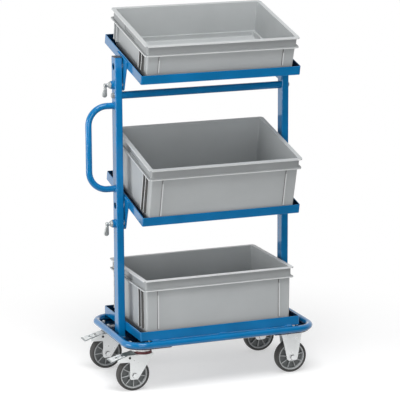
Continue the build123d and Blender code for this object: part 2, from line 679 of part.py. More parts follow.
def fixed_leg():
    """Fixed fork's front leg: a flat panel with wings that fold back clear of the bolts."""
    top = PLATE_RISE - PLATE_WALL / 2
    face = outline([
        (-FIXED_FOOT_HALF, -FIXED_FOOT_DROP),
        (FIXED_FOOT_HALF, -FIXED_FOOT_DROP),
        (FIXED_WAIST_HALF, FIXED_WAIST_RISE),
        (FIXED_TOP_HALF, top),
        (-FIXED_TOP_HALF, top),
        (-FIXED_WAIST_HALF, FIXED_WAIST_RISE),
    ])
    face = fillet(face.vertices().sort_by(Axis.Y)[:2], FIXED_FOOT_CORNER)
    face -= Circle(AXLE_DIAMETER / 2 + RUN_FIT)
    sheet = outline([
        (-FIXED_TOP_HALF, -WING_EDGE),
        (-FIXED_PANEL_HALF, -FORK_OUTER),
        (FIXED_PANEL_HALF, -FORK_OUTER),
        (FIXED_TOP_HALF, -WING_EDGE),
        (FIXED_TOP_HALF, LEG_WALL - WING_EDGE),
        (FIXED_PANEL_HALF, LEG_WALL - FORK_OUTER),
        (-FIXED_PANEL_HALF, LEG_WALL - FORK_OUTER),
        (-FIXED_TOP_HALF, LEG_WALL - WING_EDGE),
    ])
    pressed = Pos(0, 0, -FIXED_FOOT_DROP) * extrude(sheet, top + FIXED_FOOT_DROP)
    return pressed & side_plate(face, -FORK_OUTER, FORK_OUTER)


def fixed_fork():
    """Fixed fork: plate and two pressed legs."""
    leg = fixed_leg()
    return caster_plate(0) + leg + mirror(leg, about=Plane.XZ)


def swivel_leg():
    """Outline of the swivel fork's leg, with the arm that carries the pedal pin."""
    arm_low = PEDAL_PIVOT_RISE - ARM_UNDER_PIVOT
    arm_end = -PEDAL_PIVOT_BACK - ARM_PAST_PIVOT
    leg = outline([
        (-LEG_WAIST, -LEG_FOOT_DROP),
        (-LEG_WAIST, arm_low),
        (arm_end, arm_low + PIN_HEAD),
        (arm_end, PEDAL_PIVOT_RISE - PEDAL_PIN),
        (-LEG_BACK, FORK_RISE),
        (LEG_FRONT, FORK_RISE),
        (LEG_FRONT, FORK_RISE - LEG_SHOULDER),
        (LEG_FOOT, -LEG_FOOT_DROP),
    ])
    leg = fillet(leg.vertices().sort_by(Axis.Y)[:2], LEG_FOOT_CORNER)
    leg -= Circle(AXLE_DIAMETER / 2 + RUN_FIT)
    return leg - Pos(-PEDAL_PIVOT_BACK, PEDAL_PIVOT_RISE) * Circle(PEDAL_PIN / 2 + RUN_FIT)


def swivel_fork():
    """Swivel fork: crown, lower race and two legs."""
    left = PEDAL_INNER + PEDAL_WALL
    crown = Pos((left + LEG_FRONT) / 2, 0) * Rectangle(LEG_FRONT - left, 2 * FORK_OUTER)
    crown += Pos(TRAIL, 0) * Circle(CROWN_RADIUS)
    fork = Pos(0, 0, FORK_RISE - CROWN_WALL) * extrude(crown, CROWN_WALL)
    fork += Pos(TRAIL, 0, FORK_RISE) * rod(LOWER_RACE_RADIUS, LOWER_RACE)
    fork += both_legs(swivel_leg(), FORK_GAP / 2, LEG_WALL)
    hole = rod(KINGPIN_DIAMETER / 2 + RUN_FIT, FORK_RISE)
    return fork - Pos(TRAIL, 0, FORK_RISE - 2 * CROWN_WALL) * hole


def swivel_seal():
    """Dust seal round the swivel bearing."""
    return Pos(TRAIL, 0, FORK_RISE) * tube(SEAL_RADIUS, SEAL_RADIUS - SEAL_WALL, SEAL_HEIGHT)


def ball_ring():
    """Balls of the swivel bearing."""
    level = FORK_RISE + LOWER_RACE + FACE_GAP + BALL_DIAMETER / 2
    balls = []
    for step in range(BALL_COUNT):
        turn = Rot(0, 0, step * 360 / BALL_COUNT)
        balls.append(Pos(TRAIL, 0, level) * turn * Pos(BALL_CIRCLE / 2, 0, 0) * Sphere(BALL_DIAMETER / 2))
    return group(balls)


def swivel_plate():
    """Swivel caster's top plate with the upper race below it."""
    top = PLATE_RISE - PLATE_WALL
    profile = Plane.XZ * outline([
        (0, top),
        (UPPER_RACE_FLARE, top),
        (UPPER_RACE_RADIUS, top - UPPER_RACE / 2),
        (UPPER_RACE_RADIUS, top - UPPER_RACE),
        (0, top - UPPER_RACE),
    ])
    plate = caster_plate(TRAIL) + Pos(TRAIL, 0, 0) * revolve(profile, Axis.Z)
    return plate - Pos(TRAIL, 0, 0) * rod(KINGPIN_DIAMETER / 2 + RUN_FIT, 2 * PLATE_RISE)


def kingpin():
    """Kingpin from the plate's top through the crown, with its head under the crown."""
    head_top = FORK_RISE - CROWN_WALL - FACE_GAP
    pin = Pos(0, 0, head_top) * rod(KINGPIN_DIAMETER / 2, PLATE_RISE - head_top)
    head = Pos(0, 0, head_top - KINGPIN_HEAD) * rod(KINGPIN_HEAD_DIAMETER / 2, KINGPIN_HEAD)
    return Pos(TRAIL, 0, 0) * (pin + head)


def pedal_level(x):
    """Height of the pedal plate's top at the given X."""
    inner_z = PEDAL_PIVOT_RISE + PEDAL_INNER_RISE
    tip_z = PEDAL_PIVOT_RISE - PEDAL_TIP_DROP
    return tip_z + (inner_z - tip_z) * (x - PEDAL_TIP) / (PEDAL_INNER - PEDAL_TIP)


def pedal_strip(start, end):
    """Outline of the pedal's sloping plate between two X places."""
    return outline([
        (start, pedal_level(start)),
        (end, pedal_level(end)),
        (end, pedal_level(end) - PEDAL_WALL),
        (start, pedal_level(start) - PEDAL_WALL),
    ])


def brake_pedal():
    """Brake pedal: sloping plate with a notched tip, and two cheeks on the pedal pin."""
    pivot_x = -PEDAL_PIVOT_BACK
    back = pivot_x - CHEEK_REACH
    front = pivot_x + CHEEK_EYE
    cheek = outline([
        (back, pedal_level(back) - PEDAL_WALL / 2),
        (front, pedal_level(front) - PEDAL_WALL / 2),
        (front, PEDAL_PIVOT_RISE),
        (pivot_x - CHEEK_EYE, PEDAL_PIVOT_RISE - CHEEK_EYE),
        (back, pedal_level(back) - 2 * PEDAL_WALL),
    ])
    eye = Pos(pivot_x, PEDAL_PIVOT_RISE) * Circle(CHEEK_EYE)
    pedal = side_plate(pedal_strip(PEDAL_TIP, PEDAL_INNER), -PEDAL_HALF, 2 * PEDAL_HALF)
    pedal += side_plate(pedal_strip(PEDAL_TIP, PEDAL_TIP + TIP_LENGTH), -TIP_HALF, 2 * TIP_HALF)
    pedal += both_legs(cheek + eye, PEDAL_HALF - CHEEK_WALL, CHEEK_WALL)
    pitch = 2 * TIP_HALF / TIP_NOTCHES
    for step in range(TIP_NOTCHES - 1):
        y = -TIP_HALF + (step + 1) * pitch
        pedal -= Pos(PEDAL_TIP, y, pedal_level(PEDAL_TIP)) * Box(2 * TIP_NOTCH, pitch / 2, 4 * PEDAL_WALL)
    hole_x = PEDAL_TIP + TIP_LENGTH + PEDAL_HOLE
    pedal -= Pos(hole_x, 0, pedal_level(hole_x)) * Cylinder(PEDAL_HOLE / 2, 4 * PEDAL_WALL)
    pin_hole = rod(PEDAL_PIN / 2 + RUN_FIT, 2 * FORK_OUTER)
    return pedal - along_y(pin_hole, pivot_x, -FORK_OUTER, PEDAL_PIVOT_RISE)


def pedal_turn(angle):
    """Turn about the pedal pin; a positive angle lifts the tip."""
    there = Pos(-PEDAL_PIVOT_BACK, 0, PEDAL_PIVOT_RISE)
    back = Pos(PEDAL_PIVOT_BACK, 0, -PEDAL_PIVOT_RISE)
    return there * Rot(0, angle, 0) * back


def brake_shoe():
    """Brake shoe under the pedal: its face follows the tyre when the pedal is pressed right down."""
    near = WHEEL_RADIUS + SHOE_GAP
    x = -PEDAL_PIVOT_BACK - SHOE_CENTRE_BACK
    seat = pedal_turn(-PEDAL_TRAVEL) * Pos(x, 0, pedal_level(x) - PEDAL_WALL)
    seat_x = seat.position.X
    seat_z = seat.position.Z
    middle = degrees(atan2(seat_z, seat_x))
    sector = Circle(near + SHOE_WALL) - Circle(near)
    reach = 4 * WHEEL_RADIUS
    wedge = []
    for turn in (middle - SHOE_HALF_ANGLE, middle + SHOE_HALF_ANGLE):
        wedge.append((reach * cos(radians(turn)), reach * sin(radians(turn))))
    face = sector & outline([(0, 0)] + wedge)
    stem_top = hypot(seat_x, seat_z) + PEDAL_WALL
    stem_low = near + SHOE_WALL / 2
    stem = Pos((stem_low + stem_top) / 2, 0) * Rectangle(stem_top - stem_low, SHOE_STEM)
    face += Rot(0, 0, middle) * stem
    shoe = side_plate(face, -SHOE_HALF, 2 * SHOE_HALF)
    return pedal_turn(PEDAL_TRAVEL) * shoe - brake_pedal()


def pedal_pin():
    """Pedal pin with a flat head at each end, through both legs and both cheeks."""
    shank = rod(PEDAL_PIN / 2, 2 * FORK_OUTER)
    head = rod(PIN_HEAD_DIAMETER / 2, PIN_HEAD)
    pin = shank + Pos(0, 0, -PIN_HEAD) * head + Pos(0, 0, 2 * FORK_OUTER) * head
    return along_y(pin, -PEDAL_PIVOT_BACK, -FORK_OUTER, PEDAL_PIVOT_RISE)


# The whole trolley

def add_chassis(nodes):
    """Ring, plates, lower tray, posts, handle, crossbar and their fasteners."""
    nodes["base_tube_ring"] = ring_sweep(TUBE_RADIUS - TUBE_WALL)
    nodes["end_plate_left"] = end_plate(-1)
    nodes["end_plate_right"] = end_plate(1)
    nodes["tray_cross_bars"] = cross_bars()
    nodes["lower_tray_frame"] = Pos(0, 0, LOWER_TRAY_Z) * tray_frame(LOWER_TRAY_LENGTH)
    nodes["left_post"] = to_left(post(True))
    nodes["right_post"] = post(False)
    nodes["post_end_caps"] = group([post_cap(), to_left(post_cap())])
    nodes["top_crossbar"] = crossbar()
    bolts = crossbar_bolt()
    nodes["crossbar_bolts"] = group(bolts + [to_left(piece) for piece in bolts])
    nodes["push_handle"] = push_handle()
    pivots = (MIDDLE_PIVOT_Z, UPPER_PIVOT_Z)
    clamps = [z - CLAMP_DROP for z in pivots]
    pivot_bolts = [pivot_bolt(z) for z in pivots]
    pivot_nuts = [pivot_nut(z) for z in pivots]
    spacers = [spacer(z) for z in pivots]
    left_spacers = [to_left(spacer(z)) for z in list(pivots) + clamps]
    nodes["pivot_bolts"] = group(pivot_bolts + [to_left(piece) for piece in pivot_bolts])
    nodes["pivot_nuts"] = group(pivot_nuts + [to_left(piece) for piece in pivot_nuts])
    nodes["spacer_washers"] = group(spacers + left_spacers)
    nodes["clamp_bosses"] = group([clamp_boss(z) for z in clamps])
    nodes["clamp_studs"] = group([clamp_stud(z) for z in clamps])


def add_caster_fasteners(nodes):
    """Bolts and nuts that hold the caster plates to the end plates."""
    length = PLATE_WALL + END_PLATE_WALL + CASTER_NUT + BOLT_SPARE
    bolt = hexagon(CASTER_HEX, CASTER_HEAD) + Pos(0, 0, CASTER_HEAD) * rod(CASTER_BOLT / 2, length)
    foot = CASTER_HEIGHT - PLATE_WALL - CASTER_HEAD
    top_nut = nut(CASTER_HEX, CASTER_NUT, CASTER_BOLT)
    spots = bolt_places(caster_places())
    nodes["caster_bolts"] = group([Pos(x, y, foot) * bolt for x, y in spots])
    nodes["caster_nuts"] = group([Pos(x, y, DECK_Z) * top_nut for x, y in spots])


def add_trays(nodes):
    """The two tilting trays, the three bins and the clamping levers."""
    for name, pivot_z in (("upper", UPPER_PIVOT_Z), ("middle", MIDDLE_PIVOT_Z)):
        brackets = [bracket_plate(), to_left(bracket_plate())]
        nodes[name + "_tray_frame"] = tilted(Pos(0, 0, PIVOT_DROP) * tray_frame(TRAY_LENGTH), pivot_z)
        nodes[name + "_tray_brackets"] = group([tilted(plate, pivot_z) for plate in brackets])
        nodes[name + "_clamp_lever"] = clamp_lever(pivot_z - CLAMP_DROP)
    nodes["upper_bin"] = tilted(bin_on_tray(LOW_BIN, UPPER_BIN_SLIP), UPPER_PIVOT_Z)
    nodes["middle_bin"] = tilted(bin_on_tray(TALL_BIN, MIDDLE_BIN_SLIP), MIDDLE_PIVOT_Z)
    nodes["lower_bin"] = Pos(0, 0, LOWER_TRAY_Z + ANGLE_WALL + FACE_GAP) * stacking_bin(TALL_BIN)


def add_wheel(nodes, name, place):
    """One wheel at the given axle place."""
    nodes[name + "_wheel_rim"] = place * wheel_rim()
    nodes[name + "_wheel_tyre"] = place * wheel_tyre()
    nodes[name + "_wheel_sleeve"] = place * wheel_sleeve()


def add_casters(nodes):
    """Two swivel casters with brakes at the left end, two fixed casters at the right end."""
    fixed_bolts = []
    fixed_nuts = []
    kingpins = []
    for name, y in (("front", -CASTER_Y), ("rear", CASTER_Y)):
        place = Pos(SWIVEL_X - TRAIL, y, AXLE_Z)
        nodes["swivel_plate_" + name] = place * swivel_plate()
        nodes["swivel_fork_" + name] = place * swivel_fork()
        nodes["swivel_seal_" + name] = place * swivel_seal()
        nodes["swivel_balls_" + name] = place * ball_ring()
        nodes["swivel_axle_" + name] = group([place * axle_bolt(), place * axle_nut()])
        nodes["brake_pedal_" + name] = place * brake_pedal()
        nodes["brake_shoe_" + name] = place * brake_shoe()
        nodes["pedal_pin_" + name] = place * pedal_pin()
        kingpins.append(place * kingpin())
        add_wheel(nodes, "left_" + name, place)
        place = Pos(FIXED_X, y, AXLE_Z)
        nodes["fixed_fork_" + name] = place * fixed_fork()
        fixed_bolts.append(place * axle_bolt())
        fixed_nuts.append(place * axle_nut())
        add_wheel(nodes, "right_" + name, place)
    nodes["kingpins"] = group(kingpins)
    nodes["fixed_axle_bolts"] = group(fixed_bolts)
    nodes["fixed_axle_nuts"] = group(fixed_nuts)


def trolley():
    """All nodes by name, in the trolley's own frame."""
    nodes = {}
    add_chassis(nodes)
    add_caster_fasteners(nodes)
    add_trays(nodes)
    add_casters(nodes)
    centre = Pos(-CENTRE_X, -CENTRE_Y, 0)
    return {name: centre * shape for name, shape in nodes.items()}


os.makedirs("parts", exist_ok=True)
for node_name, node_shape in trolley().items():
    export_step(node_shape, os.path.join("parts", node_name + ".step"))
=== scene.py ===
"""Bin trolley: every visible piece in its own finish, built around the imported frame."""

import json
import math

import bmesh
import bpy
from bpy.props import FloatProperty, FloatVectorProperty, IntProperty, PointerProperty
from mathutils import Matrix, Quaternion, Vector

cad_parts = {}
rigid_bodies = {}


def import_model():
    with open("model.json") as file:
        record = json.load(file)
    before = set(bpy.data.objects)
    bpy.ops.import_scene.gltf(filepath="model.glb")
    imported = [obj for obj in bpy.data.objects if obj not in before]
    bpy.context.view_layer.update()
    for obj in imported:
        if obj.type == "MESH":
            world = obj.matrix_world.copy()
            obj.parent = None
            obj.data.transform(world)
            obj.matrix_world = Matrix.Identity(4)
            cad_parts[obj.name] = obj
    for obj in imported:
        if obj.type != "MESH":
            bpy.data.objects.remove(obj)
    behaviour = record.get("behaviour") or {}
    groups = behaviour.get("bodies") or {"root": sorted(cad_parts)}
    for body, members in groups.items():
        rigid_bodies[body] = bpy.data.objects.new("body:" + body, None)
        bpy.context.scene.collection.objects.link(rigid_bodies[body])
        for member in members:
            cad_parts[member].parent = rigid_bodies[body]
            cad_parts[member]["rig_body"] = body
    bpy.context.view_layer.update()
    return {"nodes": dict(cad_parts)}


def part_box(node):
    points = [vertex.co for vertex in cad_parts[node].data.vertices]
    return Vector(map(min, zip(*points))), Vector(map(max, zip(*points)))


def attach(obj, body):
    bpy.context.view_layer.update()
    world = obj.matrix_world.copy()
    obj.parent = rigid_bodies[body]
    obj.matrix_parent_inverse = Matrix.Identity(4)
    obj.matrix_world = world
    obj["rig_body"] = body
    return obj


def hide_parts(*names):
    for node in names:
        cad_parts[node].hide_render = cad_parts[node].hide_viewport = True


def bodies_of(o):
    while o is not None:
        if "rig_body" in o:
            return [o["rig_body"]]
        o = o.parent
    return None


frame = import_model()

bl_info = {
    "name": "Bin trolley",
    "version": (1, 0, 0),
    "blender": (4, 5, 0),
    "location": "3D View > Sidebar > Trolley",
    "description": "Builds the bin trolley's bins, trays, tubes, casters and stage",
    "category": "Object",
}

LEFT_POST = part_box("left_post")
RIGHT_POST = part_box("right_post")
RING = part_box("base_tube_ring")
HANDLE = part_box("push_handle")
LOWER_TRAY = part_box("lower_tray_frame")
MIDDLE_X = (LEFT_POST[0].x + RIGHT_POST[1].x) / 2
MIDDLE_Y = (RING[0].y + RING[1].y) / 2
POST_Y = (LEFT_POST[0].y + LEFT_POST[1].y) / 2
TURN = 2 * math.pi
QUARTER = math.radians(90)
ALONG = Vector((1, 0, 0))
ACROSS = Vector((0, 1, 0))
UP = Vector((0, 0, 1))
NEAR = 1e-5
SHARP = math.radians(38)

# Widths of the broken edges
PEDAL_EDGE = 0.0003
RIM_EDGE = 0.0004
TUBE_EDGE = 0.0005
PLATE_EDGE = 0.0006
STEEL_EDGE = 0.0008
MOULD_EDGE = 0.0009
BOSS_EDGE = 0.0012


# Sizes and colours

def length(name, description, default):
    """Property for a length in metres."""
    return FloatProperty(name=name, description=description, default=default, min=0.0, precision=4,
                         unit="LENGTH")


def angle(name, description, degrees):
    """Property for an angle that is given in degrees."""
    return FloatProperty(name=name, description=description, default=math.radians(degrees), subtype="ANGLE")


def number(name, description, default, unit="NONE"):
    """Property for a plain number or for a power."""
    return FloatProperty(name=name, description=description, default=default, unit=unit)


def colour(name, description, default):
    """Property for a colour of a finish."""
    return FloatVectorProperty(name=name, description=description, default=default, size=3, min=0.0,
                               max=1.0, subtype="COLOR")


class BinSizes(bpy.types.PropertyGroup):
    """Sizes of the stacking bins."""

    rim_length: length("Rim length", "Outer length of the rim", 0.6)
    rim_depth: length("Rim depth", "Outer depth of the rim", 0.4)
    tall: length("Tall bin", "Height of the two tall bins", 0.22)
    low: length("Low bin", "Height of the low bin", 0.14)
    wall: length("Wall", "Thickness of wall and floor", 0.0035)
    corner: length("Corner", "Radius of the rim's corners", 0.013)
    body_inset: length("Body inset", "How far the body stands in from the rim", 0.012)
    draft: length("Draft", "How much the body narrows to its foot", 0.002)
    foot_height: length("Foot height", "Height of the foot under the body", 0.02)
    foot_inset: length("Foot inset", "How far the foot stands in from the body", 0.008)
    foot_corner: length("Foot corner", "Radius of the foot's corners", 0.008)
    rim_height: length("Rim height", "Height of the rim with both lips", 0.04)
    lip: length("Lip", "Thickness of each lip", 0.004)
    band: length("Band recess", "How far the band between the lips stands in", 0.009)
    grip_width: length("Grip width", "Width of the closed grip", 0.11)
    grip_height: length("Grip height", "Height of the closed grip", 0.022)
    grip_pocket: length("Grip pocket", "Depth of the closed grip", 0.003)
    rib_width: length("Rib width", "Thickness of the upright ribs", 0.005)
    rib_proud: length("Rib height", "How far the long sides' ribs stand out of the body", 0.004)
    end_rib_proud: length("End rib height", "How far the ends' ribs stand out of the body", 0.009)
    rib_start: length("Rib start", "Height at which the ribs begin", 0.032)
    side_rib: length("Side rib", "Distance of the long sides' ribs from the corner", 0.058)
    end_rib: length("End rib", "Distance of the ends' first ribs from the corner", 0.046)
    end_pitch: length("End rib pitch", "Distance between the two ribs of an end", 0.028)
    gusset: length("Gusset", "Height of the gusset under the rim", 0.019)
    gusset_inset: length("Gusset inset", "How far the gusset stays in from the rim's edge", 0.002)
    tilt: angle("Tilt", "Tilt of the two upper bins", 14)


class FrameSizes(bpy.types.PropertyGroup):
    """Sizes of the tubes, clamps and welds."""

    tube: length("Tube", "Diameter of the base ring's tube", 0.025)
    ring_bend: length("Ring bend", "Bend radius of the base ring", 0.07)
    handle: length("Handle tube", "Diameter of the push handle's tube", 0.024)
    handle_bend: length("Handle bend", "Bend radius of the push handle", 0.07)
    weld: length("Weld", "Half width of the weld beads", 0.0026)
    ripple: length("Weld ripple", "Distance between two ripples of a bead", 0.0032)
    pivot_head: length("Pivot head", "Diameter of the pivot bolts' heads", 0.018)
    shank: length("Shank", "Diameter of the pivot bolts' shanks", 0.01)
    shank_fit: number("Shank fit", "Share of the shank's diameter in its hole", 0.96)
    hub_foot: length("Hub foot", "Diameter of the clamp hub at its foot", 0.027)
    hub_waist: length("Hub waist", "Diameter of the clamp hub at its waist", 0.0125)
    hub_end: length("Hub end", "Diameter of the clamp hub's end", 0.015)
    hub_length: length("Hub length", "Length of the clamp hub", 0.026)
    paddle_length: length("Paddle length", "Length of the clamp's paddle", 0.045)
    paddle_width: length("Paddle width", "Greatest width of the paddle", 0.019)
    paddle_neck: length("Paddle neck", "Width of the paddle at the hub", 0.0075)
    paddle_wall: length("Paddle wall", "Thickness of the paddle", 0.007)
    paddle_round: length("Paddle edge", "Width of the paddle's rounded edge", 0.0018)
    paddle_lean: angle("Paddle lean", "How far the paddle leans outwards", 7)


class CasterSizes(bpy.types.PropertyGroup):
    """Sizes of the wheels, seals and brake pedals."""

    crown: length("Crown", "How much the tread is higher in its middle", 0.0006)
    shoulder: length("Shoulder", "Radius of the tyre's shoulders", 0.007)
    rim_wall: length("Rim wall", "Thickness of the rim's outer ring", 0.0045)
    web: length("Web", "Thickness of the rim's web", 0.005)
    hub: length("Hub", "Diameter of the rim's hub", 0.036)
    bore: length("Bore", "Diameter of the hub's bore", 0.0161)
    rib_wall: length("Rib wall", "Thickness of the rim's ribs", 0.0036)
    rib_depth: length("Rib depth", "Width of the rim's ribs across the wheel", 0.024)
    ribs: IntProperty(name="Ribs", description="Number of ribs in a rim", default=9, min=3)
    tip_drop: length("Pedal tip drop", "How far the pedal's tip lies under its pin", 0.008)
    rail_width: length("Rail width", "Width of the raised bars on a pedal", 0.0034)
    rail_height: length("Rail height", "Height of the raised bars on a pedal", 0.0013)
    rail_span: length("Rail span", "Distance of the side rails from the pedal's middle", 0.0185)
    emboss_start: length("Emboss start", "Distance of the first arrow from the pedal's tip", 0.024)
    emboss_pitch: length("Emboss pitch", "Distance between two arrows of a pedal's embossing", 0.014)
    emboss_long: length("Emboss length", "Length of an arrow's half", 0.014)
    emboss_span: length("Emboss span", "Distance of arrows and pockets from the pedal's middle", 0.0085)
    emboss_turn: angle("Emboss turn", "Turn of an arrow's half", 38)
    tip_bar: length("Tip bar", "Length of the bar at the pedal's tip, across it", 0.042)
    pocket: length("Pocket", "Depth of the pockets in a pedal's plate", 0.0026)
    pocket_long: length("Pocket length", "Length of the pockets", 0.008)
    pocket_wide: length("Pocket width", "Width of the pockets", 0.006)
    # Lit share of each pedal's plate; the rest is painted shade, larger on the front pedal, which the ring
    # shades
    front_lit_share: number("Front lit share", "Bright share of the front pedal", 0.5)
    rear_lit_share: number("Rear lit share", "Bright share of the rear pedal", 0.85)


class FinishColours(bpy.types.PropertyGroup):
    """Colours of the finishes."""

    blue: colour("Blue", "Powder coat of the frame", (0.002, 0.147, 0.362))
    # Painted shade: this dark blue stands for the shade inside the trays and under the ring's ends
    blue_painted_shade: colour("Deep blue", "Powder coat in the frame's recesses", (0.001, 0.022, 0.066))
    zinc: colour("Zinc", "Bright zinc plating", (0.86, 0.88, 0.88))
    cast: colour("Cast zinc", "Die-cast clamping levers and the crossbar's bolts", (0.42, 0.44, 0.44))
    pedal: colour("Pedal", "Pressed steel of the pedals", (0.74, 0.76, 0.76))
    # Painted shade: this dark grey stands for the shade on the pedals by the swivel and on their undersides
    pedal_shade: colour("Pedal shade", "Dull inner part of the pedals", (0.2, 0.23, 0.23))
    bin_grey: colour("Bin grey", "Moulded bins", (0.415, 0.432, 0.437))
    # Painted shade: this darker grey stands for the shade under the top lip, on the band and in the grips
    band_shade_grey: colour("Band shade grey", "Grained band between the bins' lips", (0.32, 0.333, 0.338))
    # Painted highlight: this light grey goes on the bins' lip faces, on the rib edges and on the lower bin's
    # rim top
    highlight_grey: colour("Highlight grey", "Polished lips and rib edges of the bins", (0.62, 0.632, 0.637))
    shade_grey: colour("Shade grey", "Shaded rib sides of the bins", (0.1, 0.098, 0.095))
    rim_grey: colour("Rim grey", "Moulded wheel rims", (0.44, 0.455, 0.46))
    # Painted shade: this darker grey stands for the shade in the pockets of the wheel rims
    web_shade_grey: colour("Web shade grey", "Pockets of the wheel rims", (0.14, 0.15, 0.15))
    rubber: colour("Rubber", "Tyres", (0.05, 0.0495, 0.048))
    # Black of the post caps, pins and shoes; on the axles' sides the same black is painted shade
    cap: colour("Cap", "Post caps, pins, shoes and the axles' sides", (0.02, 0.021, 0.023))
    seal: colour("Seal", "Dust seals of the swivels", (0.11, 0.03, 0.034))


class StageSettings(bpy.types.PropertyGroup):
    """Camera, lights and floor."""

    azimuth: angle("Azimuth", "Camera's turn from the front", -21.11)
    elevation: angle("Elevation", "Camera's height angle", 12.30)
    roll: angle("Roll", "Camera's turn about its own axis", -0.25)
    distance: length("Distance", "Camera's distance from its target", 8.02)
    target_height: length("Target height", "Height of the camera's target", 0.6634)
    target_left: length("Target left", "How far the camera's target lies left of the middle", 0.0021)
    lens: number("Lens", "Focal length in millimetres", 191.39)
    ambient: number("Ambient", "Strength of the light from all around", 0.39)
    key: number("Key light", "Power of the light above", 100.0, "POWER")
    front: number("Front light", "Power of the light in front", 66.0, "POWER")
    side: number("Side light", "Power of the light at the handle's side", 88.0, "POWER")
    light_height: length("Light height", "Height that the lights point at", 0.7)
    floor: length("Floor", "Radius of the floor", 2.4)
    paper: colour("Paper", "Colour of the floor as seen", (0.65, 0.65, 0.65))
    lift: number("Lift", "How much the floor as seen is lifted to white", 0.445)
    bounce: colour("Bounce", "Colour of the floor as it lights the trolley", (0.38, 0.38, 0.38))


# Finishes

CLOUD_RANGE = (0.3, 0.7)
CELL_RANGE = (0.2, 0.8)
WHITE = (1.0, 1.0, 1.0, 1.0)


def add_node(tree, kind, **values):
    """New shader node with values on the sockets that the words name."""
    node = tree.nodes.new("ShaderNode" + kind)
    for name, value in values.items():
        node.inputs[name.replace("_", " ").title()].default_value = value
    return node


def pattern(tree, scale, detail, cells=False):
    """Clouds or cells on Object coordinates."""
    place = add_node(tree, "TexCoord")
    node = add_node(tree, "TexVoronoi" if cells else "TexNoise", scale=scale, detail=detail)
    tree.links.new(place.outputs["Object"], node.inputs["Vector"])
    return node.outputs["Color" if cells else "Fac"]


def skin(name, base, shine, mottle, haze, grains, cells=False):
    """Material with a mottled colour, a hazy gloss and one or more grains.

    Shine holds values of the shader's sockets. Mottle and haze have a scale, a detail and two ends: shades
    of the base for mottle, and roughness for haze. A grain is a bump with a scale, a detail, a depth and a
    strength.
    """
    material = bpy.data.materials.new(name)
    material.use_nodes = True
    tree = material.node_tree
    link = tree.links.new
    shader = tree.nodes["Principled BSDF"]
    shader.inputs["Base Color"].default_value = (*base, 1.0)
    for socket, value in shine.items():
        shader.inputs[socket].default_value = value
    scale, detail, *shades = mottle
    ramp = add_node(tree, "ValToRGB")
    for stop, place, shade in zip(ramp.color_ramp.elements, CELL_RANGE if cells else CLOUD_RANGE, shades):
        stop.position = place
        stop.color = (*[min(1.0, value * shade) for value in base], 1.0)
    link(pattern(tree, scale, detail, cells), ramp.inputs["Fac"])
    link(ramp.outputs["Color"], shader.inputs["Base Color"])
    scale, detail, low, high = haze
    start, end = CLOUD_RANGE
    span = add_node(tree, "MapRange", from_min=start, from_max=end, to_min=low, to_max=high)
    link(pattern(tree, scale, detail), span.inputs["Value"])
    link(span.outputs["Result"], shader.inputs["Roughness"])
    for scale, detail, depth, strength in grains:
        bump = add_node(tree, "Bump", strength=strength, distance=depth)
        link(pattern(tree, scale, detail), bump.inputs["Height"])
        if shader.inputs["Normal"].is_linked:
            link(shader.inputs["Normal"].links[0].from_socket, bump.inputs["Normal"])
        link(bump.outputs["Normal"], shader.inputs["Normal"])
    return material


def powder_coat(name, base):
    """Powder coat: even colour, orange-peel skin, a gloss that is strong only at a glance."""
    shine = {"Roughness": 0.3, "IOR": 1.3, "Coat Weight": 1.0, "Coat IOR": 1.3, "Coat Roughness": 0.08}
    return skin(name, base, shine, mottle=(9.0, 3.0, 0.9, 1.1), haze=(34.0, 4.0, 0.15, 0.23),
                grains=[(520.0, 2.0, 0.0004, 0.12), (120.0, 1.0, 0.0008, 0.06)])


def zinc_plate(name, base):
    """Bright zinc plating: pale metal with a faint spangle and a fine grain."""
    return skin(name, base, {"Metallic": 0.55, "Roughness": 0.38}, mottle=(160.0, 0.0, 0.98, 1.01),
                haze=(60.0, 4.0, 0.26, 0.46), grains=[(900.0, 2.0, 0.0002, 0.12)], cells=True)


def cast_metal(name, base):
    """Die-cast metal: dull, slightly pitted skin."""
    return skin(name, base, {"Metallic": 0.75, "Roughness": 0.45}, mottle=(90.0, 4.0, 0.82, 1.15),
                haze=(90.0, 4.0, 0.36, 0.55), grains=[(700.0, 3.0, 0.0004, 0.25)])


def plated_sheet(name, base):
    """Plated sheet with a faintly clouded skin."""
    return skin(name, base, {"Metallic": 0.5, "Roughness": 0.36}, mottle=(140.0, 4.0, 0.85, 1.1),
                haze=(140.0, 4.0, 0.28, 0.42), grains=[(480.0, 2.0, 0.0006, 0.2)])


def polypropylene(name, base):
    """Moulded polypropylene: fine grain, faint flow marks, a dull sheen."""
    return skin(name, base, {"Roughness": 0.42, "IOR": 1.5}, mottle=(5.0, 4.0, 0.95, 1.05),
                haze=(26.0, 4.0, 0.36, 0.48), grains=[(760.0, 2.0, 0.0003, 0.14)])


def nylon(name, base):
    """Moulded nylon of the wheel rims."""
    return skin(name, base, {"Roughness": 0.5}, mottle=(40.0, 3.0, 0.9, 1.1),
                haze=(40.0, 3.0, 0.42, 0.58), grains=[(800.0, 2.0, 0.0003, 0.15)])


def tyre_rubber(name, base):
    """Dark rubber with a dusty tread."""
    return skin(name, base, {"Roughness": 0.72}, mottle=(70.0, 5.0, 0.75, 1.3),
                haze=(70.0, 5.0, 0.62, 0.85), grains=[(1100.0, 3.0, 0.0004, 0.3)])


def cap_plastic(name, base):
    """Black moulded plastic."""
    return skin(name, base, {"Roughness": 0.42}, mottle=(80.0, 3.0, 0.8, 1.3),
                haze=(80.0, 3.0, 0.36, 0.52), grains=[(900.0, 2.0, 0.0003, 0.2)])


def seal_rubber(name, base):
    """Dark red rubber of the dust seals."""
    return skin(name, base, {"Roughness": 0.55}, mottle=(120.0, 3.0, 0.8, 1.25),
                haze=(120.0, 3.0, 0.45, 0.65), grains=[(900.0, 2.0, 0.0003, 0.2)])


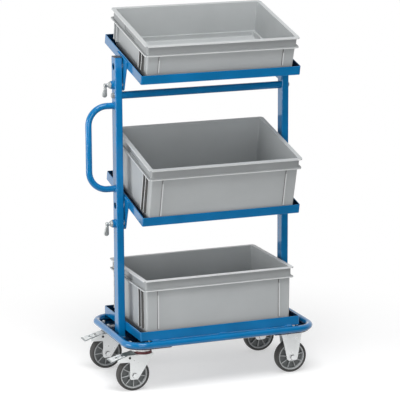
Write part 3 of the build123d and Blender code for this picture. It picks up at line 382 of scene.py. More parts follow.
# Each finish: its kind, the material's name and the setting that holds its colour
FINISHES = {
    "blue_paint": (powder_coat, "blue_powder_coat", "blue"),
    # The dark blue is painted shade
    "deep_blue": (powder_coat, "deep_blue_powder_coat", "blue_painted_shade"),
    "zinc_steel": (zinc_plate, "bright_zinc", "zinc"),
    "cast_zinc": (cast_metal, "cast_zinc", "cast"),
    "pedal": (plated_sheet, "pedal_steel", "pedal"),
    # The pedal shade is painted shade
    "pedal_shade": (plated_sheet, "pedal_shade", "pedal_shade"),
    "bin_grey": (polypropylene, "bin_plastic", "bin_grey"),
    # The band grey is painted shade
    "band_shade_grey": (polypropylene, "band_plastic", "band_shade_grey"),
    # The lip grey is a painted highlight
    "highlight_grey": (polypropylene, "lip_plastic", "highlight_grey"),
    "shade_grey": (polypropylene, "shade_plastic", "shade_grey"),
    "rim_grey": (nylon, "rim_plastic", "rim_grey"),
    # The web grey is painted shade
    "web_shade_grey": (nylon, "web_plastic", "web_shade_grey"),
    "tyre_rubber": (tyre_rubber, "tyre_rubber", "rubber"),
    # The black is also painted shade on the axles' sides
    "cap_black": (cap_plastic, "cap_plastic", "cap"),
    "seal_red": (seal_rubber, "seal_rubber", "seal"),
}
MADE = {}


def finish(name):
    """The material of a finish, made once."""
    if name not in MADE:
        kind, label, setting = FINISHES[name]
        MADE[name] = kind(label, getattr(bpy.context.scene.trolley_colours, setting))
    return MADE[name]


# Pieces

def body_of(node):
    """Body that a frame node rides on."""
    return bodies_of(frame["nodes"][node])[0]


def middle(node):
    """Middle of a frame node's box."""
    low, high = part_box(node)
    return (low + high) / 2


def publish(name, bm, finishes, node=None, body=None, bevel=0.0):
    """Turn a bmesh into a piece that stands for a node, or that rides on a body beside the nodes."""
    mesh = bpy.data.meshes.new(name)
    bm.to_mesh(mesh)
    bm.free()
    if "custom_normal" in mesh.attributes:
        mesh.attributes.remove(mesh.attributes["custom_normal"])
    mesh.shade_smooth()
    mesh.set_sharp_from_angle(angle=SHARP)
    for item in finishes:
        mesh.materials.append(finish(item))
    piece = bpy.data.objects.new(name, mesh)
    bpy.context.scene.collection.objects.link(piece)
    if bevel:
        rounding = piece.modifiers.new("edges", "BEVEL")
        rounding.width = bevel
        rounding.segments = 2
        rounding.limit_method = "ANGLE"
        rounding.angle_limit = SHARP
        shading = piece.modifiers.new("shading", "WEIGHTED_NORMAL")
        shading.keep_sharp = True
    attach(piece, body or body_of(node))
    if node:
        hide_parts(node)


def tidy(bm):
    """Merge doubles and turn all faces outwards."""
    bmesh.ops.remove_doubles(bm, verts=bm.verts, dist=1e-6)
    bmesh.ops.recalc_face_normals(bm, faces=bm.faces)


def merged(node):
    """Copy of a frame node's mesh with its loose triangles joined into flat faces."""
    bm = bmesh.new()
    bm.from_mesh(frame["nodes"][node].data)
    bmesh.ops.remove_doubles(bm, verts=bm.verts, dist=2e-6)
    bmesh.ops.dissolve_limit(bm, angle_limit=math.radians(0.5), verts=bm.verts, edges=bm.edges)
    return bm


def dress(node, finish_name, bevel=PLATE_EDGE):
    """Copy of a frame node with softened edges, in place of the node."""
    publish(node + "_dressed", merged(node), [finish_name], node, bevel=bevel)


def paint(node, finish_name):
    """Give a frame node itself a finish."""
    mesh = frame["nodes"][node].data
    mesh.materials.clear()
    mesh.materials.append(finish(finish_name))


def verts_in(parts):
    """The vertices among the parts that an operator made."""
    return [part for part in parts if isinstance(part, bmesh.types.BMVert)]


def edges_in(parts):
    """The edges among the parts that an operator made."""
    return [part for part in parts if isinstance(part, bmesh.types.BMEdge)]


def edges_at(verts):
    """The edges at some vertices, each once."""
    return list(dict.fromkeys(edge for vert in verts for edge in vert.link_edges))


def round_off(bm, parts, offset, segments, affect="EDGES"):
    """Round edges or corners."""
    bmesh.ops.bevel(bm, geom=parts, offset=offset, offset_type="OFFSET", segments=segments, profile=0.5,
                    affect=affect, material=-1)


def rounded_loop(bm, half_x, half_y, corner, z, keep_face):
    """Edge loop of a rectangle with rounded corners."""
    before = set(bm.edges)
    shape = Matrix.Translation((0, 0, z)) @ Matrix.Diagonal((half_x, half_y, 1, 1))
    made = bmesh.ops.create_grid(bm, x_segments=1, y_segments=1, size=1.0, matrix=shape)
    round_off(bm, made["verts"], corner, 7, "VERTICES")
    edges = [edge for edge in bm.edges if edge not in before]
    if not keep_face:
        faces = list({face for edge in edges for face in edge.link_faces})
        bmesh.ops.delete(bm, geom=faces, context="FACES_ONLY")
    return edges


def flat_prism(bm, corners, along):
    """Flat face through the corners, drawn out along a vector."""
    face = bm.faces.new([bm.verts.new(corner) for corner in corners])
    made = bmesh.ops.extrude_face_region(bm, geom=[face])
    moved = verts_in(made["geom"])
    bmesh.ops.translate(bm, verts=moved, vec=along)
    return list(face.verts) + moved


def sink_patch(bm, on_top, cuts, goal, push):
    """Cut the flat faces of a top by planes, push in the patch at the goal, and give that patch."""
    def flat_faces():
        return [face for face in bm.faces if all(on_top(vert.co) for vert in face.verts)]

    for place, normal in cuts:
        parts = [part for face in flat_faces() for part in (face, *face.edges, *face.verts)]
        bmesh.ops.bisect_plane(bm, geom=list(dict.fromkeys(parts)), plane_co=place, plane_no=normal)
    patch = min(flat_faces(), key=lambda face: (face.calc_center_median() - goal).length)
    made = bmesh.ops.extrude_discrete_faces(bm, faces=[patch])
    floor = made["faces"][0]
    bmesh.ops.translate(bm, verts=floor.verts, vec=push)
    return floor


def spun(bm, profile, centre, axis, steps, closed=True):
    """Spin a profile of points right round an axis."""
    verts = [bm.verts.new(point) for point in profile]
    pairs = list(zip(verts, verts[1:]))
    if closed:
        pairs.append((verts[-1], verts[0]))
    edges = [bm.edges.new(pair) for pair in pairs]
    bmesh.ops.spin(bm, geom=verts + edges, cent=centre, axis=axis, dvec=(0, 0, 0), angle=TURN, steps=steps,
                   use_merge=True, use_duplicate=False)


class TubeRun:
    """Round tube laid as on a bender: straight runs and bends from one end."""

    def __init__(self, bm, start, heading, radius, segments):
        self.bm = bm
        self.heading = Vector(heading)
        turn = self.heading.to_track_quat("Z", "Y").to_matrix().to_4x4()
        made = bmesh.ops.create_circle(bm, cap_ends=False, radius=radius, segments=segments,
                                       matrix=Matrix.Translation(start) @ turn)
        self.edges = edges_at(made["verts"])
        self.place = Vector(start)
        self.first = self.edges

    def straight(self, distance):
        """Straight run."""
        made = bmesh.ops.extrude_edge_only(self.bm, edges=self.edges)
        self.edges = edges_in(made["geom"])
        bmesh.ops.translate(self.bm, verts=verts_in(made["geom"]), vec=self.heading * distance)
        self.place = self.place + self.heading * distance

    def bend(self, radius, axis, angle, steps):
        """Bend about an axis at the given radius from the tube's middle."""
        inward = axis.cross(self.heading) * (1 if angle > 0 else -1)
        centre = self.place + inward * radius
        made = bmesh.ops.spin(self.bm, geom=self.edges, cent=centre, axis=axis, dvec=(0, 0, 0), angle=angle,
                              steps=steps, use_merge=False, use_duplicate=False)
        self.edges = edges_in(made["geom_last"])
        turn = Matrix.Rotation(angle, 3, axis)
        self.place = centre + turn @ (self.place - centre)
        self.heading = turn @ self.heading

    def close_ends(self):
        """Fill both ends."""
        bmesh.ops.edgeloop_fill(self.bm, edges=self.first)
        bmesh.ops.edgeloop_fill(self.bm, edges=self.edges)


# Bins

# Finishes of a bin, and the places of the last three in that list
BIN_FINISHES = ("bin_grey", "band_shade_grey", "highlight_grey", "shade_grey")
BAND, HIGHLIGHT, SHADE = 1, 2, 3
# Distance between a bin's loops while they are bridged, before each is moved to its height
APART = 0.1


def cut_grip(bm, sizes, height, end):
    """Sink the closed grip into the rim's band at one end."""
    half_y = sizes.grip_width / 2
    half_z = sizes.grip_height / 2
    level = height - sizes.rim_height / 2
    band_x = end * (sizes.rim_length / 2 - sizes.band)
    cuts = [((0, half_y, 0), ACROSS), ((0, -half_y, 0), ACROSS),
            ((0, 0, level - half_z), UP), ((0, 0, level + half_z), UP)]
    floor = sink_patch(bm, lambda spot: abs(spot.x - band_x) < NEAR, cuts, Vector((band_x, 0, level)),
                       (-end * sizes.grip_pocket, 0, 0))
    sides = [face for edge in floor.edges for face in edge.link_faces if face is not floor]
    seams = [edge for face in sides for edge in face.edges
             if abs((edge.verts[0].co - edge.verts[1].co).normalized().x) > 0.7]
    corner = sizes.grip_height * 0.3
    round_off(bm, list(dict.fromkeys(seams)), corner, 4)


def shade_rib(verts, at_edge, at_side):
    """Give a rib a painted highlight on its outer edge and a painted shade on one side."""
    for face in {face for vert in verts for face in vert.link_faces}:
        if all(at_edge(vert.co) for vert in face.verts):
            face.material_index = HIGHLIGHT
        elif all(at_side(vert.co) for vert in face.verts):
            face.material_index = SHADE


def bin_ribs(bm, sizes, body_height):
    """Upright ribs with gussets by the corners: one on the long sides, two on the ends."""
    edge_width = 0.0012
    top = body_height - 0.0005

    def outline(half, proud):
        root = half - sizes.body_inset - sizes.draft - sizes.wall / 2
        face = half - sizes.body_inset + proud
        return [(root, sizes.rib_start), (face - 0.001, sizes.rib_start), (face, sizes.rib_start + 0.002),
                (face, body_height - sizes.gusset), (half - sizes.gusset_inset, top), (root, top)]

    half_x = sizes.rim_length / 2
    half_y = sizes.rim_depth / 2
    wide = sizes.rib_width
    for side in (-1, 1):
        for end in (-1, 1):
            x = end * (half_x - sizes.side_rib) - wide / 2
            corners = [(x, side * out, z) for out, z in outline(half_y, sizes.rib_proud)]
            edge = side * (half_y - sizes.body_inset + sizes.rib_proud)
            verts = flat_prism(bm, corners, (wide, 0, 0))
            shade_rib(verts, lambda spot: abs(spot.y - edge) < edge_width, lambda spot: spot.x < x + NEAR)
            for inward in (sizes.end_rib, sizes.end_rib + sizes.end_pitch):
                y = side * (half_y - inward) - wide / 2
                corners = [(end * out, y, z) for out, z in outline(half_x, sizes.end_rib_proud)]
                edge = end * (half_x - sizes.body_inset + sizes.end_rib_proud)
                outside = y if side < 0 else y + wide
                verts = flat_prism(bm, corners, (0, wide, 0))
                shade_rib(verts, lambda spot: abs(spot.x - edge) < edge_width,
                          lambda spot: abs(spot.y - outside) < NEAR)


def bin_shell(sizes, height, highlit_top):
    """Bin that stands on Z = 0: foot, tapered body, double rim, inside wall with a ledge.

    The outside and the inside are steps, each with an inset from the rim and a height, and the edges of the
    foot and of the inner floor are rounded. The lips' outer faces, and when asked the rim's top, get a
    painted highlight; the band and the grips get a painted shade.
    """
    bm = bmesh.new()
    body = height - sizes.rim_height
    waist = sizes.body_inset + sizes.draft
    foot = waist + sizes.foot_inset
    ledge = sizes.foot_height + sizes.wall
    inner_foot = foot + sizes.wall
    under_lip = height - sizes.lip
    over_lip = body + sizes.lip
    foot_round = 0.003
    outside = [
        (foot + foot_round, 0.0), (foot + 0.0008, 0.001), (foot, foot_round), (foot, sizes.foot_height),
        (waist, sizes.foot_height), (sizes.body_inset, body), (0.0, body), (0.0, over_lip),
        (sizes.band, over_lip), (sizes.band, under_lip), (0.0, under_lip), (0.0, height),
    ]
    inside = [
        (sizes.body_inset + sizes.wall, height), (waist + sizes.wall, ledge), (inner_foot, ledge),
        (inner_foot, 0.0095), (inner_foot + 0.0015, 0.006), (inner_foot + 0.005, sizes.wall),
    ]
    steps = outside + inside
    loops = []
    for step, (inset, _) in enumerate(steps):
        half_x = sizes.rim_length / 2 - inset
        half_y = sizes.rim_depth / 2 - inset
        corner = sizes.foot_corner if inset >= foot else sizes.corner - inset / 2
        whole = step in (0, len(steps) - 1)
        loops.append(rounded_loop(bm, half_x, half_y, corner, step * APART, whole))
    for first, second in zip(loops, loops[1:]):
        bmesh.ops.bridge_loops(bm, edges=first + second)
    for step, (_, z) in enumerate(steps):
        verts = list({vert for edge in loops[step] for vert in edge.verts})
        bmesh.ops.translate(bm, verts=verts, vec=(0, 0, z - step * APART))
    for end in (-1, 1):
        cut_grip(bm, sizes, height, end)
    margin = 0.001
    # Painted light: the lips' outer faces, and when asked the rim's top, get the painted highlight; the band
    # and the grips get the painted shade
    for face in bm.faces:
        spot = face.calc_center_median()
        inset = min(sizes.rim_length / 2 - abs(spot.x), sizes.rim_depth / 2 - abs(spot.y))
        if inset < margin or (highlit_top and spot.z > height - NEAR):
            face.material_index = HIGHLIGHT
        elif over_lip < spot.z < height - NEAR and inset < sizes.body_inset + margin:
            face.material_index = BAND
    bin_ribs(bm, sizes, body)
    tidy(bm)
    return bm


def bin_place(node, sizes, height, tilt):
    """Matrix that brings a bin to the place of its frame node."""
    low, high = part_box(node)
    half = sizes.rim_depth / 2
    y = low.y + half * math.cos(tilt) + height * math.sin(tilt)
    z = high.z - half * math.sin(tilt) - height * math.cos(tilt)
    return Matrix.Translation(((low.x + high.x) / 2, y, z)) @ Matrix.Rotation(tilt, 4, "X")


class TROLLEY_OT_bins(bpy.types.Operator):
    """Build the three stacking bins"""

    bl_idname = "trolley.bins"
    bl_label = "Bins"

    def execute(self, context):
        sizes = context.scene.trolley_bins
        for name, height, tilt in (("lower_bin", sizes.tall, 0.0), ("middle_bin", sizes.tall, sizes.tilt),
                                   ("upper_bin", sizes.low, sizes.tilt)):
            # The untilted bin also gets the painted highlight on its rim's top
            bm = bin_shell(sizes, height, tilt == 0.0)
            bmesh.ops.transform(bm, matrix=bin_place(name, sizes, height, tilt), verts=bm.verts)
            publish(name + "_moulding", bm, BIN_FINISHES, name, bevel=MOULD_EDGE)
        return {"FINISHED"}


# Trays, posts and tubes

def tray_matrix(node, tilt):
    """Matrix from a tray's own frame, at its underside's middle, to its place, and the tray's sizes."""
    low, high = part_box(node)
    depth = LOWER_TRAY[1].y - LOWER_TRAY[0].y
    tall = LOWER_TRAY[1].z - LOWER_TRAY[0].z
    up = Vector((0, -math.sin(tilt), math.cos(tilt)))
    base = (low + high) / 2 - up * tall / 2
    return Matrix.Translation(base) @ Matrix.Rotation(tilt, 4, "X"), (high.x - low.x) / 2, depth, tall


class TROLLEY_OT_trays(bpy.types.Operator):
    """Dress the three tray frames, their brackets and the bars under the lower tray"""

    bl_idname = "trolley.trays"
    bl_label = "Trays"

    def execute(self, context):
        tilt = context.scene.trolley_bins.tilt
        for name, turn in (("lower", 0.0), ("middle", tilt), ("upper", tilt)):
            node = name + "_tray_frame"
            bm = merged(node)
            # The tray's inner faces get the dark blue of painted shade
            self.paint_inside_shade(bm, *tray_matrix(node, turn))
            publish(node + "_dressed", bm, ["blue_paint", "deep_blue"], node, bevel=MOULD_EDGE)
        for node in ("middle_tray_brackets", "upper_tray_brackets", "tray_cross_bars"):
            dress(node, "blue_paint")
        return {"FINISHED"}

    def paint_inside_shade(self, bm, place, half, depth, tall):
        """Give a tray's inner faces the dark blue that is painted shade."""
        within = 0.002
        below = 0.001
        back = place.inverted()
        for face in bm.faces:
            spot = back @ face.calc_center_median()
            facing = back.to_3x3() @ face.normal
            inside = abs(spot.x) < half - within and abs(spot.y) < depth / 2 - within
            face.material_index = int(inside and spot.z < tall - below and facing.z > -0.5)


class TROLLEY_OT_base(bpy.types.Operator):
    """Bend the base ring and dress the plates under its ends"""

    bl_idname = "trolley.base"
    bl_label = "Base"

    def execute(self, context):
        sizes = context.scene.trolley_frame
        radius = sizes.tube / 2
        bend = sizes.ring_bend
        low, high = RING
        across = high.x - low.x - 2 * radius - 2 * bend
        depth = high.y - low.y - 2 * radius - 2 * bend
        bm = bmesh.new()
        start = Vector(((low.x + high.x) / 2, low.y + radius, (low.z + high.z) / 2))
        run = TubeRun(bm, start, ALONG, radius, 36)
        run.straight(across / 2)
        for distance in (depth, across, depth, across / 2):
            run.bend(bend, UP, QUARTER, 14)
            run.straight(distance)
        tidy(bm)
        publish("base_ring_tube", bm, ["blue_paint"], "base_tube_ring")
        # The end plates get the dark blue of painted shade, for the deep shade under the ring's ends
        for node in ("end_plate_left", "end_plate_right"):
            dress(node, "deep_blue")
        return {"FINISHED"}


class TROLLEY_OT_posts(bpy.types.Operator):
    """Dress the posts, their caps and the crossbar"""

    bl_idname = "trolley.posts"
    bl_label = "Posts"

    def execute(self, context):
        for node in ("left_post", "right_post"):
            dress(node, "blue_paint", bevel=TUBE_EDGE)
        dress("post_end_caps", "cap_black", bevel=STEEL_EDGE)
        dress("top_crossbar", "blue_paint", bevel=TUBE_EDGE)
        return {"FINISHED"}


class TROLLEY_OT_handle(bpy.types.Operator):
    """Bend the push handle"""

    bl_idname = "trolley.handle"
    bl_label = "Push handle"

    def execute(self, context):
        sizes = context.scene.trolley_frame
        radius = sizes.handle / 2
        bend = sizes.handle_bend
        low, high = HANDLE
        arm = high.x - low.x - radius - bend
        upright = high.z - low.z - 2 * radius - 2 * bend
        bm = bmesh.new()
        run = TubeRun(bm, (high.x, POST_Y, high.z - radius), -ALONG, radius, 32)
        run.straight(arm)
        for distance in (upright, arm):
            run.bend(bend, ACROSS, -QUARTER, 18)
            run.straight(distance)
        run.close_ends()
        tidy(bm)
        publish("push_handle_tube", bm, ["blue_paint"], "push_handle")
        return {"FINISHED"}


# Clamps and fasteners

def lever_hub(bm, sizes, foot, z):
    """Bell-shaped hub of a clamping lever, spun about the stud: distances from its foot, and radii."""
    out = sizes.hub_length
    waist = sizes.hub_waist / 2
    tip = sizes.hub_end / 2
    rim = sizes.hub_foot / 2
    profile = [(0.0, 0.0), (0.0, rim - 0.0008), (0.0008, rim), (0.0032, rim), (0.0045, rim - 0.0012),
               (0.007, rim * 0.8), (0.009, rim * 0.62), (0.012, waist * 1.12), (0.015, waist),
               (0.018, waist * 1.02), (0.0205, tip * 0.96), (0.023, tip), (out - 0.0015, tip * 0.9),
               (out - 0.0004, tip * 0.6), (out, 0.0)]
    points = [(foot - along, POST_Y + radius, z) for along, radius in profile]
    spun(bm, points, (foot, POST_Y, z), ALONG, 40, closed=False)


def lever_paddle(bm, sizes, root, z):
    """Flat paddle that hangs from the hub's end and leans outwards."""
    wide = sizes.paddle_width / 2
    drop = sizes.paddle_length - wide
    half = sizes.paddle_wall / 2
    upright = Matrix.Translation((0, -half, -drop)) @ Matrix.Rotation(QUARTER, 4, "X")
    made = bmesh.ops.create_circle(bm, cap_ends=True, radius=wide, segments=36, matrix=upright)
    head = [vert for vert in made["verts"] if vert.co.z > NEAR - drop]
    narrow = (sizes.paddle_neck / sizes.paddle_width, 1, 0.5)
    bmesh.ops.scale(bm, vec=narrow, verts=head, space=Matrix.Translation((0, 0, drop)))
    bmesh.ops.translate(bm, verts=head, vec=(0, 0, drop))
    made = bmesh.ops.extrude_face_region(bm, geom=list(bm.faces))
    bmesh.ops.translate(bm, verts=verts_in(made["geom"]), vec=(0, 2 * half, 0))
    rims = [edge for edge in bm.edges if abs(edge.verts[0].co.y - edge.verts[1].co.y) < half]
    round_off(bm, rims, sizes.paddle_round, 3)
    lean = Matrix.Rotation(sizes.paddle_lean, 4, "Y")
    bmesh.ops.transform(bm, matrix=Matrix.Translation((root, POST_Y, z)) @ lean, verts=bm.verts)


class TROLLEY_OT_clamps(bpy.types.Operator):
    """Build the clamping levers and dress their bosses and studs"""

    bl_idname = "trolley.clamps"
    bl_label = "Tray clamps"

    def execute(self, context):
        sizes = context.scene.trolley_frame
        for name in ("upper_clamp_lever", "middle_clamp_lever"):
            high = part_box(name)[1]
            z = high.z - sizes.hub_foot / 2
            bm = bmesh.new()
            lever_paddle(bm, sizes, high.x - sizes.hub_length + sizes.hub_end / 2, z)
            lever_hub(bm, sizes, high.x, z)
            tidy(bm)
            publish(name + "_casting", bm, ["cast_zinc"], name)
        dress("clamp_bosses", "blue_paint", bevel=BOSS_EDGE)
        paint("clamp_studs", "zinc_steel")
        return {"FINISHED"}


class TROLLEY_OT_fasteners(bpy.types.Operator):
    """Dress the bolts, nuts and washers"""

    bl_idname = "trolley.fasteners"
    bl_label = "Fasteners"

    def execute(self, context):
        for node in ("caster_bolts", "caster_nuts"):
            dress(node, "zinc_steel", bevel=STEEL_EDGE)
        bm = merged("pivot_bolts")
        self.slim_shanks(bm, context.scene.trolley_frame)
        publish("pivot_bolts_dressed", bm, ["zinc_steel"], "pivot_bolts", bevel=STEEL_EDGE)
        dress("crossbar_bolts", "cast_zinc", bevel=STEEL_EDGE)
        end_facing = 0.9
        for node in ("fixed_axle_bolts", "fixed_axle_nuts", "swivel_axle_front", "swivel_axle_rear"):
            bm = merged(node)
            # Painted shade: the sides of the axle heads and nuts get black, and their end faces stay zinc
            for face in bm.faces:
                face.material_index = int(abs(face.normal.y) < end_facing)
            publish(node + "_dressed", bm, ["zinc_steel", "cap_black"], node, bevel=STEEL_EDGE)
        for node in ("pivot_nuts", "spacer_washers"):
            paint(node, "zinc_steel")
        return {"FINISHED"}

    def slim_shanks(self, bm, sizes):
        """Leave room round the pivot bolts' shanks, so that the trays' plates turn on them freely."""
        low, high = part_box("pivot_bolts")
        y = (low.y + high.y) / 2
        reach = 0.55 * sizes.shank
        for z in (low.z + sizes.pivot_head / 2, high.z - sizes.pivot_head / 2):
            shank = [vert for vert in bm.verts if math.hypot(vert.co.y - y, vert.co.z - z) < reach]
            bmesh.ops.scale(bm, vec=(1, sizes.shank_fit, sizes.shank_fit), verts=shank,
                            space=Matrix.Translation((0, -y, -z)))


# Casters

def seal_ring(node):
    """Dust seal with a flared lip, spun about the swivel's axis."""
    low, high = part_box(node)
    centre = (low + high) / 2
    radius = (high.x - low.x) / 2
    tall = high.z - low.z
    profile = [(radius - 0.004, 0.0), (radius - 0.0008, 0.0), (radius, 0.0009), (radius, 0.0026),
               (radius - 0.0016, 0.0042), (radius - 0.0012, tall - 0.002), (radius - 0.002, tall - 0.0004),
               (radius - 0.004, tall)]
    bm = bmesh.new()
    points = [(centre.x + out, centre.y, low.z + up) for out, up in profile]
    spun(bm, points, centre, UP, 48)
    tidy(bm)
    publish(node + "_ring", bm, ["seal_red"], node)


def raised_bar(bm, place, along, across, long, turn, sizes):
    """Raised bar on a plate, at a place along and across it, sunk in a little."""
    sunk = 0.0004
    edge = 0.0005
    made = bmesh.ops.create_cube(bm, size=1.0)
    shape = place @ Matrix.Translation((along, across, sizes.rail_height / 2 - sunk))
    shape = shape @ Matrix.Rotation(turn, 4, "Z")
    shape = shape @ Matrix.Diagonal((long, sizes.rail_width, sizes.rail_height + 2 * sunk, 1))
    bmesh.ops.transform(bm, matrix=shape, verts=made["verts"])
    round_off(bm, edges_at(made["verts"]), edge, 2)


def sink_pocket(bm, place, along, across, sizes):
    """Sink a pocket into a plate's top."""
    long = sizes.pocket_long / 2
    wide = sizes.pocket_wide / 2
    back = place.inverted()
    turn = place.to_3x3()
    cuts = [((along - long, 0, 0), ALONG), ((along + long, 0, 0), ALONG),
            ((0, across - wide, 0), ACROSS), ((0, across + wide, 0), ACROSS)]
    sink_patch(bm, lambda spot: abs((back @ spot).z) < NEAR,
               [(place @ Vector(point), turn @ normal) for point, normal in cuts],
               place @ Vector((along, across, 0)), turn @ UP * -sizes.pocket)


def pedal(node, pin_node, sizes, share):
    """Brake pedal: side rails, embossed arrows and pockets, lit outside, with painted shade by the swivel
    and underneath.
    """
    low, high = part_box(node)
    pin = middle(pin_node)
    tip_z = pin.z - sizes.tip_drop
    slope = math.atan2(high.z - tip_z, high.x - low.x)
    place = Matrix.Translation((low.x, pin.y, tip_z)) @ Matrix.Rotation(-slope, 4, "Y")
    back = place.inverted()
    plate = math.hypot(high.z - tip_z, high.x - low.x)
    bright = share * plate
    rail_middle = 0.35 * plate
    rail_long = 0.5 * plate
    tip_place = 0.014
    pocket_rows = (0.034, 0.05)
    span = sizes.emboss_span
    bm = merged(node)
    for across in (-span, span):
        for along in pocket_rows:
            sink_pocket(bm, place, along, across, sizes)
    # Painted shade: the plate's top beyond the lit share, and its undersides, get the shade finish
    bmesh.ops.bisect_plane(bm, geom=list(bm.verts) + list(bm.edges) + list(bm.faces),
                           plane_co=place @ Vector((bright, 0, 0)), plane_no=ALONG)
    for face in bm.faces:
        spot = back @ face.calc_center_median()
        inner = spot.x > bright and abs(spot.z) < 1e-4
        under = spot.z < -0.0004
        face.material_index = int(inner or under)
    for across in (-sizes.rail_span, sizes.rail_span):
        raised_bar(bm, place, rail_middle, across, rail_long, 0, sizes)
    raised_bar(bm, place, tip_place, 0, sizes.tip_bar, QUARTER, sizes)
    for step in range(3):
        along = sizes.emboss_start + step * sizes.emboss_pitch
        for side in (-1, 1):
            raised_bar(bm, place, along, side * span, sizes.emboss_long, side * sizes.emboss_turn, sizes)
    publish(node + "_plate", bm, ["pedal", "pedal_shade"], node, bevel=PEDAL_EDGE)


class TROLLEY_OT_swivel_casters(bpy.types.Operator):
    """Dress the swivel casters: plates, forks, seals, balls and kingpins"""

    bl_idname = "trolley.swivel_casters"
    bl_label = "Swivel casters"

    def execute(self, context):
        for end in ("front", "rear"):
            dress("swivel_plate_" + end, "zinc_steel", bevel=STEEL_EDGE)
            dress("swivel_fork_" + end, "zinc_steel", bevel=STEEL_EDGE)
            seal_ring("swivel_seal_" + end)
            paint("swivel_balls_" + end, "zinc_steel")
        paint("kingpins", "zinc_steel")
        return {"FINISHED"}


class TROLLEY_OT_brakes(bpy.types.Operator):
    """Build the brake pedals and dress their pins and shoes"""

    bl_idname = "trolley.brakes"
    bl_label = "Brakes"

    def execute(self, context):
        sizes = context.scene.trolley_casters
        for end, share in (("front", sizes.front_lit_share), ("rear", sizes.rear_lit_share)):
            pedal("brake_pedal_" + end, "pedal_pin_" + end, sizes, share)
            dress("pedal_pin_" + end, "cap_black")
            dress("brake_shoe_" + end, "cap_black")
        return {"FINISHED"}


class TROLLEY_OT_fixed_casters(bpy.types.Operator):
    """Dress the forks of the fixed casters"""

    bl_idname = "trolley.fixed_casters"
    bl_label = "Fixed casters"

    def execute(self, context):
        for end in ("front", "rear"):
            dress("fixed_fork_" + end, "zinc_steel", bevel=STEEL_EDGE)
        return {"FINISHED"}


# Turn of each wheel's first rib, in degrees
FIRST_RIB = {"left_front": -92.0, "left_rear": -97.0, "right_front": -108.0, "right_rear": -100.0}


def wheel_turned(profile, centre, steps):
    """Bmesh of a profile, with radii and distances across, spun about a wheel's axle."""
    bm = bmesh.new()
    points = [(centre.x + out, centre.y + y, centre.z) for out, y in profile]
    spun(bm, points, centre, ACROSS, steps)
    return bm


def wheel_tyre(wheel, sizes):
    """Tyre with a crowned tread, round shoulders and a lip at the rim."""
    node = wheel + "_wheel_tyre"
    low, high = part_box(node)
    rim_low, rim_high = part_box(wheel + "_wheel_rim")
    centre = (low + high) / 2
    outer = (high.z - low.z) / 2
    half = (high.y - low.y) / 2
    gap = 0.00005
    inner = (rim_high.z - rim_low.z) / 2 + gap
    bend = sizes.shoulder
    profile = [(inner, -half + 0.0006), (inner + 0.0022, -half), (inner + 0.003, -half + 0.0005),
               (outer - bend, -half)]
    for step in (1, 2, 3):
        turn = math.radians(22.5 * step)
        profile.append((outer - bend + (bend - sizes.crown) * math.sin(turn),
                        -half + bend * (1 - math.cos(turn))))
    profile += [(outer - sizes.crown, -half + bend), (outer - sizes.crown * 0.3, -half * 0.3)]
    profile += [(out, -y) for out, y in reversed(profile)]
    bm = wheel_turned(profile, centre, 96)
    tidy(bm)
    publish(wheel + "_tyre", bm, ["tyre_rubber"], node)


def wheel_rim(wheel, sizes):
    """Rim with hub, web, outer ring and ribs on both sides."""
    node = wheel + "_wheel_rim"
    low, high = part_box(node)
    centre = (low + high) / 2
    outer = (high.z - low.z) / 2
    hub_half = (high.y - low.y) / 2
    tyre_low, tyre_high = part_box(wheel + "_wheel_tyre")
    ring_half = (tyre_high.y - tyre_low.y) / 2 - 0.001
    inner = outer - sizes.rim_wall
    hub = sizes.hub / 2
    bore = sizes.bore / 2
    web = sizes.web / 2
    side = [(bore, hub_half), (hub - 0.001, hub_half), (hub, hub_half - 0.001), (hub + 0.001, web + 0.003),
            (hub + 0.003, web), (inner - 0.003, web), (inner - 0.001, web + 0.003),
            (inner, ring_half - 0.0008), (inner + 0.0008, ring_half), (outer - 0.0006, ring_half),
            (outer, ring_half - 0.0006)]
    bm = wheel_turned(side + [(out, -y) for out, y in reversed(side)], centre, 72)
    rib_root = 0.002
    rib_tip = 0.001
    start = hub - rib_root
    reach = inner + rib_tip - start
    thick = sizes.rib_wall / 2
    half = sizes.rib_depth / 2
    corners = [centre + Vector((start, y, z))
               for y, z in ((-half, -thick), (half, -thick), (half, thick), (-half, thick))]
    verts = flat_prism(bm, corners, (reach, 0, 0))
    turn = Matrix.Rotation(-math.radians(FIRST_RIB[wheel]), 3, "Y")
    bmesh.ops.rotate(bm, verts=verts, cent=centre, matrix=turn)
    rib = [part for vert in verts for part in (vert, *vert.link_edges, *vert.link_faces)]
    copies = sizes.ribs - 1
    bmesh.ops.spin(bm, geom=list(dict.fromkeys(rib)), cent=centre, axis=ACROSS, dvec=(0, 0, 0),
                   angle=TURN / sizes.ribs * copies, steps=copies, use_merge=False, use_duplicate=True)
    tidy(bm)
    # Painted shade: the web's faces in the pockets between the ribs get the darker grey
    for face in bm.faces:
        away = face.calc_center_median() - centre
        face.material_index = int(abs(away.y) < web + 0.002 and hub < math.hypot(away.x, away.z) < inner)
    publish(wheel + "_rim", bm, ["rim_grey", "web_shade_grey"], node, bevel=RIM_EDGE)


class TROLLEY_OT_wheels(bpy.types.Operator):
    """Build the four wheels"""

    bl_idname = "trolley.wheels"
    bl_label = "Wheels"

    def execute(self, context):
        sizes = context.scene.trolley_casters
        for wheel in FIRST_RIB:
            wheel_tyre(wheel, sizes)
            wheel_rim(wheel, sizes)
            paint(wheel + "_wheel_sleeve", "zinc_steel")
        return {"FINISHED"}


# Welds

